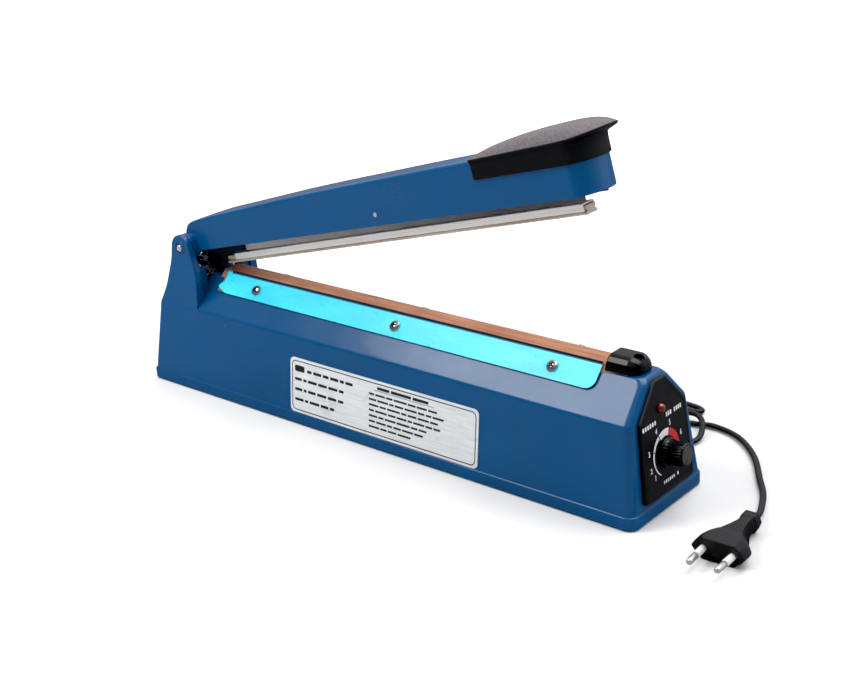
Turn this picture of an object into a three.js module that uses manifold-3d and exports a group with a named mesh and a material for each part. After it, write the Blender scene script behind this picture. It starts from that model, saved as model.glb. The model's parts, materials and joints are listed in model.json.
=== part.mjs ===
// Impulse heat sealer for plastic film, 300 mm sealing length.
// Millimetres, +Z up. Origin: centre of the bottom face that the machine rests on.
// +X runs along the base from the hinge end (left) to the control panel (right).
// -Y is the front, the side with the instruction plate; +Y is the rear.
// The arm stands open. It turns about the hinge pin (axis Y) and closes on the sealing ledge.
import * as THREE from 'three';
import { mergeVertices } from 'three/addons/utils/BufferGeometryUtils.js';
import Module from 'manifold-3d';

const { degToRad, mapLinear, clamp } = THREE.MathUtils;
const wasm = await Module();
wasm.setup();

// ---------------------------------------------------------------- driving dimensions
const SIDES = [-1, 1];           // front, rear
const WALL = 2.5;                // housing moulding thickness

// corner radii run: left front, right front, right rear, left rear
const SKIRT = { left: -211.5, right: 210, front: -38.6, rear: 39.5, radii: [3.5, 7, 5, 3.5] };
const SKIRT_BOTTOM = 0.8;
const SKIRT_TOP = 8.8;
const WALL_FOOT = { left: -210.4, right: 209, front: -37.7, rear: 38.6, radii: [3, 6.5, 4.5, 3] };
const WALL_TOP = { left: -203, right: 203.4, halfWidth: 31.3, z: 61.5, radii: [2.5, 6, 4, 2.5] };
const ROOF_FOOT_LEFT = -161.5;   // left end of the roof where it meets the wall
const ROOF = { left: -165, halfWidth: 10.7, z: 83.4 };     // flat top of the roof
const END_LEAN = Math.atan2(WALL_FOOT.right - WALL_TOP.right, WALL_TOP.z - SKIRT_TOP);

const HINGE = { x: -175.9, z: 104.9, pinRadius: 2.5 };
const EAR = { inner: 23.3, radius: 9.3 };                  // inner face from y = 0, head radius
const OPEN_ANGLE = degToRad(14.53);

const BOTTOM_SCREWS = [[-188, -29], [188, -29], [188, 29.6], [-188, 29.6]];    // x, y
const LEDGE = { left: -152, right: 172.8, cloth: 86.95 };  // cloth: z of the cloth top
const CLAMP_SCREW_X = [-113.2, 16, 139.8];
const CLAMP_SCREW_DOWN = 5.6;    // down the roof facet from the edge of the flat top
const TERMINAL_X = { right: 180.5, left: -156.5 };
const CAP_SCREW_X = 190.2;
const CORD = { x: 150, z: 24 };

const KNOB = [-1.4, 28.3];       // on the end face: y, distance up the face
const LAMP = [-4.2, 56.6];
const PANEL = { gap: 0.03, depth: 2, bevel: 1.1 };

// arm frame: u along the arm, w above the pin axis
const ARM = { halfWidth: 18.5, wall: 2.2, bottom: -5.6 };
const NOSE = { start: 344, length: 12.5 };                 // rounded tip of the arm
const NOSE_END = NOSE.start + NOSE.length;
const GRIP = { start: 278.3, bottom: 13.3 };
const FLOAT = { u: 190.6, w: 1.7, holeRadius: 1.8 };       // cross pin of the pressure bar
// bar frame: s along the bar from the cross pin, heights from the cross pin
const BAR = { start: -160.4, end: 149.4, top: -13.7, lip: -18.3, tilt: degToRad(0.3) };
const STRIP_BOTTOM = -20.5;

// ---------------------------------------------------------------- solids
// Shapes are BufferGeometry or Manifold; the operations below take either.
function toSolid(shape) {
  if (!(shape instanceof THREE.BufferGeometry)) return shape;
  shape.deleteAttribute('uv');
  shape.deleteAttribute('normal');
  const merged = mergeVertices(shape, 1e-5);
  return new wasm.Manifold(new wasm.Mesh({
    numProp: 3,
    vertProperties: Float32Array.from(merged.attributes.position.array),
    triVerts: Uint32Array.from(merged.index.array),
  }));
}

function toGeometry(shape) {
  if (shape instanceof THREE.BufferGeometry) return shape;
  const mesh = shape.getMesh();
  const positions = Float32Array.from(mesh.vertProperties);
  const geometry = new THREE.BufferGeometry();
  geometry.setAttribute('position', new THREE.BufferAttribute(positions, 3));
  geometry.setIndex(Array.from(mesh.triVerts));
  geometry.computeVertexNormals();
  return geometry;
}

const union = (...shapes) => shapes.map(toSolid).reduce((sum, shape) => sum.add(shape));
const cut = (body, ...tools) => tools.reduce((rest, t) => rest.subtract(toSolid(t)), toSolid(body));
const common = (a, b) => toSolid(a).intersect(toSolid(b));

// ---------------------------------------------------------------- outlines
function arc(centreX, centreY, radius, fromDeg, toDeg, steps) {
  return Array.from({ length: steps + 1 }, (_, i) => {
    const angle = degToRad(fromDeg + (toDeg - fromDeg) * i / steps);
    return [centreX + radius * Math.cos(angle), centreY + radius * Math.sin(angle)];
  });
}

// radii: one number, or one per corner (x0,y0) (x1,y0) (x1,y1) (x0,y1)
function roundedRect(x0, x1, y0, y1, radii, steps = 4) {
  const [r0, r1, r2, r3] = Array.isArray(radii) ? radii : [radii, radii, radii, radii];
  return [
    ...arc(x0 + r0, y0 + r0, r0, 180, 270, steps),
    ...arc(x1 - r1, y0 + r1, r1, 270, 360, steps),
    ...arc(x1 - r2, y1 - r2, r2, 0, 90, steps),
    ...arc(x0 + r3, y1 - r3, r3, 90, 180, steps),
  ];
}

// completes a half outline with its mirror image in the first coordinate
const symmetric = (half) => [...half, ...half.map(([a, b]) => [-a, b]).reverse()];

// ---------------------------------------------------------------- shapes
function extrude(points, depth) {
  const shape = new THREE.Shape(points.map(([x, y]) => new THREE.Vector2(x, y)));
  return new THREE.ExtrudeGeometry(shape, { depth, bevelEnabled: false });
}

// points (x, y), swept along z
const prismZ = (points, z0, z1) => extrude(points, z1 - z0).translate(0, 0, z0);

// points (x, z), swept along y
const prismY = (points, y0, y1) =>
  extrude(points, y1 - y0).rotateX(Math.PI / 2).translate(0, y1, 0);

// the same, on one side of the centre plane
function sidePrism(points, side, inner, outer) {
  const [y0, y1] = side < 0 ? [-outer, -inner] : [inner, outer];
  return prismY(points, y0, y1);
}

// points (y, z), swept along x
function prismX(points, x0, x1) {
  const axes = new THREE.Matrix4().makeBasis(
    new THREE.Vector3(0, 1, 0), new THREE.Vector3(0, 0, 1), new THREE.Vector3(1, 0, 0));
  return extrude(points, x1 - x0).applyMatrix4(axes).translate(x0, 0, 0);
}

function box(x0, x1, y0, y1, z0, z1) {
  return new THREE.BoxGeometry(x1 - x0, y1 - y0, z1 - z0)
    .translate((x0 + x1) / 2, (y0 + y1) / 2, (z0 + z1) / 2);
}

// endRadius applies to the end facing the positive axis
function cylinder(radius, length, axis, centre, segments, endRadius = radius) {
  const geometry = new THREE.CylinderGeometry(endRadius, radius, length, segments);
  if (axis === 'x') geometry.rotateZ(-Math.PI / 2);
  if (axis === 'z') geometry.rotateX(Math.PI / 2);
  return geometry.translate(...centre);
}

// profile (radius, height) from axis to axis, turned about z
function lathe(profile, segments) {
  const points = profile.map(([r, h]) => new THREE.Vector2(r, h));
  return new THREE.LatheGeometry(points, segments).rotateX(Math.PI / 2);
}

// Closed skin over rings of equal point count, counter-clockwise seen from the last ring.
function loft(rings) {
  const count = rings[0].length;
  const positions = rings.flat(2);
  const index = [];
  for (let k = 0; k + 1 < rings.length; k++) {
    for (let j = 0; j < count; j++) {
      const next = (j + 1) % count;
      const [a, b] = [k * count + j, k * count + next];
      const [c, d] = [b + count, a + count];
      index.push(a, b, c, a, c, d);
    }
  }
  for (const k of [0, rings.length - 1]) {
    const middle = positions.length / 3;
    for (let i = 0; i < 3; i++) positions.push(rings[k].reduce((sum, p) => sum + p[i] / count, 0));
    for (let j = 0; j < count; j++) {
      const [a, b] = [k * count + j, k * count + (j + 1) % count];
      if (k === 0) index.push(middle, b, a);
      else index.push(middle, a, b);
    }
  }
  const geometry = new THREE.BufferGeometry();
  geometry.setAttribute('position', new THREE.Float32BufferAttribute(positions, 3));
  geometry.setIndex(index);
  return geometry;
}

const atHeight = (outline, z) => outline.map(([x, y]) => [x, y, z]);

function wire(points, radius, steps, sides) {
  const extrudePath = new THREE.CatmullRomCurve3(
    points.map((p) => new THREE.Vector3(...p)), false, 'centripetal');
  const section = Array.from({ length: sides }, (_, i) => {
    const angle = i / sides * 2 * Math.PI;
    return new THREE.Vector2(radius * Math.cos(angle), radius * Math.sin(angle));
  });
  return new THREE.ExtrudeGeometry(new THREE.Shape(section),
    { steps, extrudePath, bevelEnabled: false });
}

// two crossed slots of a screw drive
function crossSlots(x, y, halfLength, z0, z1) {
  const halfSlot = 0.35;
  return [
    box(x - halfLength, x + halfLength, y - halfSlot, y + halfSlot, z0, z1),
    box(x - halfSlot, x + halfSlot, y - halfLength, y + halfLength, z0, z1),
  ];
}

// ---------------------------------------------------------------- materials
const standard = (options) => new THREE.MeshStandardMaterial(options);
const BLUE = standard({ color: 0x1f5f9a, roughness: 0.25, metalness: 0 });
const BLACK = standard({ color: 0x151517, roughness: 0.55, metalness: 0 });
const GLOSS_BLACK = standard({ color: 0x0e0e10, roughness: 0.2, metalness: 0 });
const STEEL = standard({ color: 0xb9bbbd, roughness: 0.3, metalness: 1 });
const DARK_STEEL = standard({ color: 0x6a6a6c, roughness: 0.45, metalness: 0.9 });
const ALUMINIUM = standard({ color: 0xd9d5cf, roughness: 0.35, metalness: 0.9 });
const RUBBER = standard({ color: 0xd8cdbb, roughness: 0.7, metalness: 0 });
const CLOTH = standard({ color: 0x9a6a45, roughness: 0.5, metalness: 0 });
const FILM = standard({ color: 0x2fd3f2, roughness: 0.15, metalness: 0 });
const RED = standard({ color: 0xa01018, roughness: 0.15, metalness: 0 });
const LABEL = standard({ color: 0xd6d8da, roughness: 0.35, metalness: 0.2 });
const PHENOLIC = standard({ color: 0x4a2c18, roughness: 0.6, metalness: 0 });
const BRASS = standard({ color: 0xb89245, roughness: 0.3, metalness: 1 });
const COPPER = standard({ color: 0xb0622d, roughness: 0.35, metalness: 1 });
const BOARD_GREEN = standard({ color: 0x1c5a2e, roughness: 0.5, metalness: 0 });
const WHITE = standard({ color: 0xe9e9e6, roughness: 0.5, metalness: 0 });

// ---------------------------------------------------------------- assembly
const root = new THREE.Group();

function add(name, shape, material, parent = root) {
  const mesh = new THREE.Mesh(toGeometry(shape), material);
  mesh.name = name;
  parent.add(mesh);
}

function addGroup(parent = root) {
  const group = new THREE.Group();
  parent.add(group);
  return group;
}

// ---------------------------------------------------------------- housing faces and frames
const onWall = (z, foot, top) => mapLinear(z, SKIRT_TOP, WALL_TOP.z, foot, top);
const onRoof = (z, foot, top) => mapLinear(z, WALL_TOP.z, ROOF.z, foot, top);
const endFaceX = (z) => onWall(z, WALL_FOOT.right, WALL_TOP.right);
const wallY = (z) => onWall(z, -WALL_FOOT.front, WALL_TOP.halfWidth);
const roofY = (z) => onRoof(z, WALL_TOP.halfWidth, ROOF.halfWidth);
const roofLeft = (z) => onRoof(z, ROOF_FOOT_LEFT, ROOF.left);

// frame with X along x and Z along the normal (0, normalY, normalZ)
function slopeFrame(normalY, normalZ, origin) {
  const alongX = new THREE.Vector3(1, 0, 0);
  const normal = new THREE.Vector3(0, normalY, normalZ).normalize();
  const across = new THREE.Vector3().crossVectors(normal, alongX);
  return new THREE.Matrix4().makeBasis(alongX, across, normal).setPosition(...origin);
}

// The roof has a front and a rear facet. (y, z) of a point `down` the facet from the edge
// of the flat top and `out` above its surface:
const FACET_RUN = WALL_TOP.halfWidth - ROOF.halfWidth;
const FACET_DROP = ROOF.z - WALL_TOP.z;
function facetPoint(side, down, out = 0) {
  const slope = Math.hypot(FACET_RUN, FACET_DROP);
  const y = ROOF.halfWidth + (FACET_RUN * down + FACET_DROP * out) / slope;
  return [side * y, ROOF.z + (FACET_RUN * out - FACET_DROP * down) / slope];
}
const facetFrame = (side, x, down) =>
  slopeFrame(side * FACET_DROP, FACET_RUN, [x, ...facetPoint(side, down)]);

// tools for the clamp screw holes of one facet
function clampHoles(side, radius, length, segments, centre = 0) {
  return CLAMP_SCREW_X.map((x) => cylinder(radius, length, 'z', [0, 0, centre], segments)
    .applyMatrix4(facetFrame(side, x, CLAMP_SCREW_DOWN)));
}

// leaning end face: X = y, Y = up the face, Z = outwards
const END_FRAME = new THREE.Matrix4().makeBasis(
  new THREE.Vector3(0, 1, 0),
  new THREE.Vector3(-Math.sin(END_LEAN), 0, Math.cos(END_LEAN)),
  new THREE.Vector3(Math.cos(END_LEAN), 0, Math.sin(END_LEAN)),
).setPosition(WALL_FOOT.right, 0, SKIRT_TOP);
const onEnd = (shape, [across, up] = [0, 0]) =>
  toGeometry(shape).translate(across, up, 0).applyMatrix4(END_FRAME);

// ---------------------------------------------------------------- base housing
function outlineRing({ left, right, front, rear, radii }, z, inset = 0, radiusLoss = 0) {
  const reduced = radii.map((r) => Math.max(0.5, r - radiusLoss));
  return atHeight(
    roundedRect(left + inset, right - inset, front + inset, rear - inset, reduced), z);
}

const wallOutline = (z) => ({
  left: onWall(z, WALL_FOOT.left, WALL_TOP.left),
  right: endFaceX(z),
  front: -wallY(z),
  rear: wallY(z),
  radii: WALL_TOP.radii,
});

const roofRing = (z, left, right, halfWidth, radii) =>
  atHeight(roundedRect(left, right, -halfWidth, halfWidth, radii), z);

function housingBlank() {
  const skirt = loft([
    outlineRing(SKIRT, SKIRT_BOTTOM, 0.5, 0.5),
    outlineRing(SKIRT, SKIRT_BOTTOM + 0.6),
    outlineRing(SKIRT, SKIRT_TOP - 0.7),
    outlineRing(SKIRT, SKIRT_TOP, 0.7, 0.5),
  ]);
  const walls = loft([
    outlineRing(WALL_FOOT, 5),
    outlineRing(WALL_FOOT, SKIRT_TOP),
    outlineRing(wallOutline(WALL_TOP.z), WALL_TOP.z),
  ]);
  const roofStart = WALL_TOP.z - 4;
  // z, inset of the right end, right front corner radius
  const roofStations = [
    [WALL_TOP.z, 0, 6], [79.5, 0.4, 5], [82, 1.6, 4.5], [83, 3, 4.2], [ROOF.z, 4.6, 4],
  ];
  const roof = loft([
    roofRing(roofStart, ROOF_FOOT_LEFT, endFaceX(roofStart), WALL_TOP.halfWidth, [0.6, 6, 4, 0.6]),
    ...roofStations.map(([z, inset, radius]) =>
      roofRing(z, roofLeft(z), endFaceX(z) - inset, roofY(z), [0.6, radius, 4, 0.6])),
  ]);
  return union(walls, skirt, roof);
}

// hollow below the roof and hollow inside it
function housingCavities() {
  const body = loft([
    outlineRing(SKIRT, -1, WALL, 2),
    outlineRing(SKIRT, 5.5, WALL, 2),
    outlineRing(WALL_FOOT, 6, WALL, 2),
    outlineRing(wallOutline(59), 59, WALL, 2),
  ]);
  const left = ROOF_FOOT_LEFT + WALL;
  const radii = [0.5, 3.5, 3.5, 0.5];
  const top = 81;
  const roof = loft([
    roofRing(58, left, endFaceX(58) - WALL, 28.8, radii),
    roofRing(WALL_TOP.z, left, endFaceX(WALL_TOP.z) - WALL, 27.7, radii),
    roofRing(top - 0.1, roofLeft(top) + WALL, endFaceX(top) - WALL - 1.5, roofY(top) - 3.4,
      [0.5, 2, 2, 0.5]),
  ]);
  return [body, roof];
}

// ears with a round head and outward faces leaning in, walls between them
function hingeMount() {
  // x, z
  const earSide = [
    [-163, 57], [-161.3, 62], [-160.8, 76], [-161.4, 90],
    ...arc(HINGE.x, HINGE.z, EAR.radius, 22, 176, 14),
    [-187.6, 92.5], [-194.6, 74], [-201.6, 61.7], [-201.2, 57],
  ];
  // y, z
  const earSection = [[31.9, 50], [31.2, 61.5], [27.7, 116], [0, 116], [0, 50]];
  // x, z of the walls under the arm's hinge bosses
  const guardSide = [
    [-193.5, 59.5], [-160, 59.5], [-160.5, 62], [-162.6, 75], [-163.4, 91], [-188.2, 91],
    [-194.6, 73],
  ];
  // x, z of the wall joining the ears at the left
  const backSide = [
    [-201.4, 58], [-199, 58], [-199, 61.8], [-192.1, 74], [-187.6, 85.5], [-190.1, 85.5],
    [-194.6, 74], [-201.4, 61.8],
  ];
  const pairs = SIDES.flatMap((side) => [
    common(sidePrism(earSide, side, EAR.inner, 33),
      prismX(earSection.map(([y, z]) => [side * y, z]), -215, -150)),
    sidePrism(guardSide, side, 16.8, EAR.inner + 1),
  ]);
  return union(...pairs, prismY(backSide, -EAR.inner - 1, EAR.inner + 1));
}

function housingHoles() {
  const slot = (x, half) => box(x - half, x + half, -3.2, 3.2, 79, 85);
  return [
    ...SIDES.map((side) => cylinder(2.75, 12, 'y', [HINGE.x, side * 28, HINGE.z], 24)),
    cylinder(4.3, 16, 'y', [CORD.x, 35, CORD.z], 20),
    onEnd(cylinder(4.4, 12, 'z', [0, 0, 0], 20), KNOB),
    onEnd(cylinder(3.3, 12, 'z', [0, 0, 0], 16), LAMP),
    slot(TERMINAL_X.left, 3),
    slot(TERMINAL_X.right, 4),
    cylinder(1.75, 10, 'z', [CAP_SCREW_X, 0, 81], 16),
    ...BOTTOM_SCREWS.map(([x, y]) => cylinder(1.45, 16, 'z', [x, y, 8], 12)),
    ...SIDES.flatMap((side) => clampHoles(side, 1.6, 12, 12, -3)),
  ];
}

function baseHousing() {
  const shell = cut(union(housingBlank(), hingeMount()), ...housingCavities());
  const switchPedestal = box(-189.8, -165.9, -5.6, 5.6, 59.5, 66.2);
  const bossLength = 29.8;
  const bosses = BOTTOM_SCREWS.map(([x, y]) =>
    cylinder(4, bossLength, 'z', [x, y, 2.2 + bossLength / 2], 10));
  return cut(union(shell, switchPedestal, ...bosses), ...housingHoles());
}
add('base_housing', baseHousing(), BLUE);

// ---------------------------------------------------------------- bottom plate and its screws
function bottomPlate() {
  const holes = BOTTOM_SCREWS.flatMap(([x, y]) => [
    cylinder(1.8, 6, 'z', [x, y, 1], 16),
    cylinder(3.3, 1.5, 'z', [x, y, 0.75], 16, 1.8),
    cylinder(3.3, 1, 'z', [x, y, -0.5], 16),
  ]);
  const slots = [];
  for (let i = 0; i < 5; i++) {
    const x = 70 + i * 9;
    slots.push(prismZ(roundedRect(x, x + 4, -14, 14, 1.9, 2), -1, 3));
  }
  const blank = prismZ(roundedRect(-208.5, 207, -35.6, 36.5, [1.5, 4.2, 2.6, 1.5]), 0, 2);
  return cut(blank, ...holes, ...slots);
}
add('bottom_plate', bottomPlate(), DARK_STEEL);

function bottomScrew(x, y) {
  const head = cylinder(3, 1.3, 'z', [x, y, 0.85], 16, 1.5);
  const shank = cylinder(1.35, 11, 'z', [x, y, 6.4], 10);
  return cut(union(head, shank), ...crossSlots(x, y, 1.6, 0, 0.75));
}
BOTTOM_SCREWS.forEach(([x, y], i) => add(`bottom_screw_${i + 1}`, bottomScrew(x, y), STEEL));

// ---------------------------------------------------------------- sealing ledge
function ledgeStrip() {
  const half = [[10.35, ROOF.z + 0.03], [7.5, 86.32]];
  return prismX(symmetric(half), LEDGE.left, LEDGE.right);
}
add('ledge_strip', ledgeStrip(), PHENOLIC);
add('heating_ribbon', box(-158.6, 182.2, -1.5, 1.5, 86.35, 86.55), STEEL);

// cloth folded over the ledge and down both facets under the clamp plates
function sealingCloth() {
  const surface = (out, bend, crest) => [
    facetPoint(-1, 9.2, out), facetPoint(-1, bend, out), [-7.3, crest],
    [7.3, crest], facetPoint(1, bend, out), facetPoint(1, 9.2, out),
  ];
  const outer = surface(0.33, -4.2, LEDGE.cloth);
  const inner = surface(0.05, -4.05, 86.62);
  const sheet = prismX([...outer, ...inner.reverse()], LEDGE.left - 1.5, LEDGE.right);
  return cut(sheet, ...SIDES.flatMap((side) => clampHoles(side, 1.9, 4, 12)));
}
add('ptfe_cloth', sealingCloth(), CLOTH);

// ---------------------------------------------------------------- clamp plates
const CLAMP = { left: -148, right: 171.2, frontTop: -4.4, rearTop: -1.2, bottom: 13.1 };

// plate on a facet; the outline is (x, distance down the facet)
function facetPlate(side, outline, out0, out1) {
  const local = outline.map(([x, down]) => [x, side * down]);
  return prismZ(local, out0, out1).applyMatrix4(facetFrame(side, 0, 0));
}

function clampPlate(side, top) {
  const outline = roundedRect(CLAMP.left, CLAMP.right, top, CLAMP.bottom, [0.4, 0.4, 6, 6]);
  return cut(facetPlate(side, outline, 0.36, 1.36), ...clampHoles(side, 1.9, 6, 16));
}

function protectiveFilm(side, top) {
  const outline = roundedRect(CLAMP.left + 2, CLAMP.right - 0.2, top + 0.3, CLAMP.bottom - 0.3,
    [2.5, 0.4, 5.8, 4]);
  return cut(facetPlate(side, outline, 1.38, 1.5), ...clampHoles(side, 3.2, 6, 12));
}

function clampScrew(side, x) {
  // radius, height
  const head = [[0, 1.39], [2.9, 1.39], [2.9, 1.9], [2.5, 2.7], [1.6, 3.2], [0, 3.35]];
  const blank = union(lathe(head, 12), cylinder(1.35, 11.5, 'z', [0, 0, -4.3], 10));
  return toGeometry(cut(blank, ...crossSlots(0, 0, 1.7, 2.3, 4)))
    .applyMatrix4(facetFrame(side, x, CLAMP_SCREW_DOWN));
}

for (const [side, tag, top] of [[-1, 'front', CLAMP.frontTop], [1, 'rear', CLAMP.rearTop]]) {
  add(`clamp_plate_${tag}`, clampPlate(side, top), STEEL);
  add(`protective_film_${tag}`, protectiveFilm(side, top), FILM);
  CLAMP_SCREW_X.forEach((x, i) => {
    add(`clamp_screw_${tag}_${i + 1}`, clampScrew(side, x), STEEL);
  });
}

// ---------------------------------------------------------------- ribbon terminals and cap
// moulded cap over the right-hand terminal
function terminalCap() {
  const bottom = 84.1;
  const top = 92.7;
  // y, z of the full-size section, rear half
  const section = symmetric([
    [11.3, bottom], [11, 85.6], [7.9, 90.7], [6.9, 91.8], [4.2, top],
  ]);
  // x, width factor, z of the top
  const stations = [
    [173.5, 0.96, 92.3], [174.1, 1, top], [187.4, 1, top], [190.5, 0.94, 92.1],
    [193, 0.81, 90.5], [194.9, 0.62, 88.4], [196, 0.38, 86.6],
  ];
  const body = loft(stations.map(([x, width, stationTop]) => section.map(([y, z]) => [
    x + (z < 90 ? 0 : 0.5 * (1 - width)),
    y * width,
    mapLinear(z, bottom, top, bottom, stationTop),
  ])));
  return cut(body,
    box(175.6, 186, -5.2, 5.2, 80, 89.6),
    box(172, 176, -2.3, 2.3, 83, 87.3),
    cylinder(1.8, 20, 'z', [CAP_SCREW_X, 0, 88], 16),
    cylinder(3, 8, 'z', [CAP_SCREW_X, 0, 92.2], 20));
}
add('terminal_cap', terminalCap(), GLOSS_BLACK);

function terminalCapScrew() {
  const head = cylinder(2.7, 1.6, 'z', [CAP_SCREW_X, 0, 89.2], 16);
  const shank = cylinder(1.5, 14, 'z', [CAP_SCREW_X, 0, 82.2], 12);
  return cut(union(head, shank), ...crossSlots(CAP_SCREW_X, 0, 1.8, 89.4, 91));
}
add('terminal_cap_screw', terminalCapScrew(), STEEL);

// stud with a hexagon at each end
const ribbonTerminal = (x) => union(
  cylinder(1.6, 12.2, 'z', [x, 0, 77.9], 14),
  cylinder(2.8, 2.4, 'z', [x, 0, 84.9], 6),
  cylinder(2.6, 2.2, 'z', [x, 0, 73], 6));
for (const [end, x] of Object.entries(TERMINAL_X)) {
  add(`ribbon_terminal_${end}`, ribbonTerminal(x), BRASS);
}

// ---------------------------------------------------------------- control panel
function controlPanel() {
  const outline = symmetric([
    ...arc(26.5, 6.3, 3, -90, -5, 3),
    ...arc(24, 52, 3, -3, 46, 3),
    ...arc(3.8, 71.4, 2.4, 46, 90, 3),
  ]);
  const shape = new THREE.Shape(outline.map(([x, y]) => new THREE.Vector2(x, y)));
  const blank = new THREE.ExtrudeGeometry(shape, {
    depth: PANEL.depth,
    bevelEnabled: true,
    bevelThickness: PANEL.bevel,
    bevelSize: PANEL.bevel,
    bevelOffset: -PANEL.bevel,
    bevelSegments: 2,
  }).translate(0, 0, PANEL.gap);
  // keeping only what lies outside the end face removes the rear bevel
  const flatBacked = common(blank, box(-60, 60, -10, 100, PANEL.gap, 10));
  return cut(flatBacked,
    cylinder(4.2, 20, 'z', [...KNOB, 0], 20),
    cylinder(3.15, 20, 'z', [...LAMP, 0], 16));
}
add('control_panel', onEnd(controlPanel()), BLACK);

// printed dial, centred on the knob axis; angles run anticlockwise from +Y
const DIAL = { radius: 14.2, start: 236, thickness: 0.12 };
function dialBand(fromDeg, toDeg, startWidth, endWidth, steps) {
  const outer = arc(0, 0, DIAL.radius, fromDeg, toDeg, steps);
  const inner = outer.map(([x, y], i) => {
    const width = startWidth + (endWidth - startWidth) * i / steps;
    const scale = (DIAL.radius - width) / DIAL.radius;
    return [x * scale, y * scale];
  });
  return { outer, inner: inner.reverse() };
}
function dialPrint(outline) {
  const z = PANEL.gap + PANEL.depth + PANEL.bevel + 0.01;
  return onEnd(prismZ(outline, z, z + DIAL.thickness), KNOB);
}
const thinBand = dialBand(DIAL.start, 119, 0.8, 1.9, 24);
const broadBand = dialBand(118, 71.5, 4.1, 4.2, 10);
const redBand = dialBand(70.5, 3, 4.2, 2.6, 14);
add('dial_scale_white', dialPrint([
  ...thinBand.outer, ...broadBand.outer, ...broadBand.inner, ...thinBand.inner,
]), WHITE);
add('dial_scale_red', dialPrint([...redBand.outer, ...redBand.inner]), RED);

function indicatorLamp() {
  // radius, height
  const lens = [[0, 0], [3, 0], [3, 3.6], [2.75, 4.2], [2.4, 5.2], [1.5, 6], [0, 6.3]];
  return union(lathe(lens, 20), cylinder(2.6, 8, 'z', [0, 0, -3.9], 16));
}
add('indicator_lamp', onEnd(indicatorLamp(), LAMP), RED);

// behind the panel
function potentiometer() {
  const can = cylinder(8, 8, 'z', [0, 0, -7.5], 24);
  const bush = cylinder(3.4, 6.4, 'z', [0, 0, -0.4], 20);
  return cut(union(can, bush), cylinder(3.06, 8.2, 'z', [0, 0, -0.2], 20));
}
add('timer_potentiometer', onEnd(potentiometer(), KNOB), DARK_STEEL);

// ---------------------------------------------------------------- knob, turns on the panel
function timerKnob() {
  // radius, height
  const profile = [
    [0, 3.5], [9, 3.5], [9.1, 4.5], [8.6, 5.6], [7.7, 7.2], [7.1, 9.6], [6.9, 13],
    [6.8, 16.7], [6.4, 17.2], [0, 17.2],
  ];
  const flutes = [];
  for (let i = 0; i < 18; i++) {
    const angle = (i + 0.5) / 18 * 2 * Math.PI;
    const centre = [7.25 * Math.cos(angle), 7.25 * Math.sin(angle), 13.6];
    flutes.push(cylinder(0.45, 8, 'z', centre, 4));
  }
  const bore = cylinder(3, 6.6, 'z', [0, 0, 6.4], 20);
  // at rest the groove points to the start of the dial
  const pointer = box(2.2, 8, -0.5, 0.5, 16.6, 19).rotateZ(degToRad(DIAL.start));
  return cut(lathe(profile, 36), ...flutes, bore, pointer);
}
const knobGroup = addGroup();
add('potentiometer_shaft', onEnd(cylinder(2.95, 12, 'z', [0, 0, 3.5], 20), KNOB), STEEL, knobGroup);
add('timer_knob', onEnd(timerKnob(), KNOB), BLACK, knobGroup);

// ---------------------------------------------------------------- instruction plate
function instructionPlate() {
  const centreZ = 28.5;
  const lean = -WALL_FOOT.front - WALL_TOP.halfWidth;
  const frame = slopeFrame(SKIRT_TOP - WALL_TOP.z, lean, [15.5, -wallY(centreZ), centreZ]);
  return prismZ(roundedRect(-81.5, 81.5, -19.4, 19.4, 3.5), 0.04, 0.5).applyMatrix4(frame);
}
add('instruction_plate', instructionPlate(), LABEL);

// ---------------------------------------------------------------- hinge pin
function hingePin() {
  const length = 60;
  const chamfer = 0.4;
  const radius = HINGE.pinRadius;
  const profile = [
    [0, 0], [radius - chamfer, 0], [radius, chamfer],
    [radius, length - chamfer], [radius - chamfer, length], [0, length],
  ];
  return lathe(profile, 24).rotateX(-Math.PI / 2).translate(HINGE.x, -29.3, HINGE.z);
}
add('hinge_pin', hingePin(), STEEL);

add('hinge_pin_clip', cut(
  cylinder(4.4, 0.8, 'y', [HINGE.x, 29.6, HINGE.z], 20),
  cylinder(HINGE.pinRadius + 0.06, 3, 'y', [HINGE.x, 29, HINGE.z], 20),
  box(HINGE.x - 1.2, HINGE.x + 1.2, 27, 31, HINGE.z - 8, HINGE.z)), DARK_STEEL);

// ---------------------------------------------------------------- microswitch, return springs
const PLUNGER_X = -170;
add('microswitch', cut(
  box(-188.6, -166.4, -5.1, 5.1, 66.3, 81.6),
  cylinder(2.2, 5, 'z', [PLUNGER_X, 0, 81], 12),
  cylinder(1.5, 14, 'y', [-185.5, 0, 69.3], 12),
  cylinder(1.5, 14, 'y', [-169.5, 0, 69.3], 12)), BLACK);
add('microswitch_plunger', cylinder(2, 4, 'z', [PLUNGER_X, 0, 82.45], 12), RED, addGroup());

const SPRING = {
  x: -169.2, y: 11.8, bottom: 61.75, top: 96.6, radius: 3.1, wireRadius: 0.85, turns: 6.5,
};
function returnSpring(centreY) {
  const { x, bottom, top, radius, wireRadius, turns } = SPRING;
  const closedTurns = 0.75;      // flat part of the coil at each end
  const steps = Math.round(turns * 9);
  const points = [];
  for (let i = 0; i <= steps; i++) {
    const turn = i / steps * turns;
    const angle = turn * 2 * Math.PI;
    const rise = clamp((turn - closedTurns) / (turns - 2 * closedTurns), 0, 1);
    points.push([
      x + radius * Math.cos(angle),
      centreY + radius * Math.sin(angle),
      bottom + wireRadius + (top - bottom - 2 * wireRadius) * rise,
    ]);
  }
  return wire(points, wireRadius, steps, 5);
}
add('return_spring_front', returnSpring(-SPRING.y), STEEL);
add('return_spring_rear', returnSpring(SPRING.y), STEEL);

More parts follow.
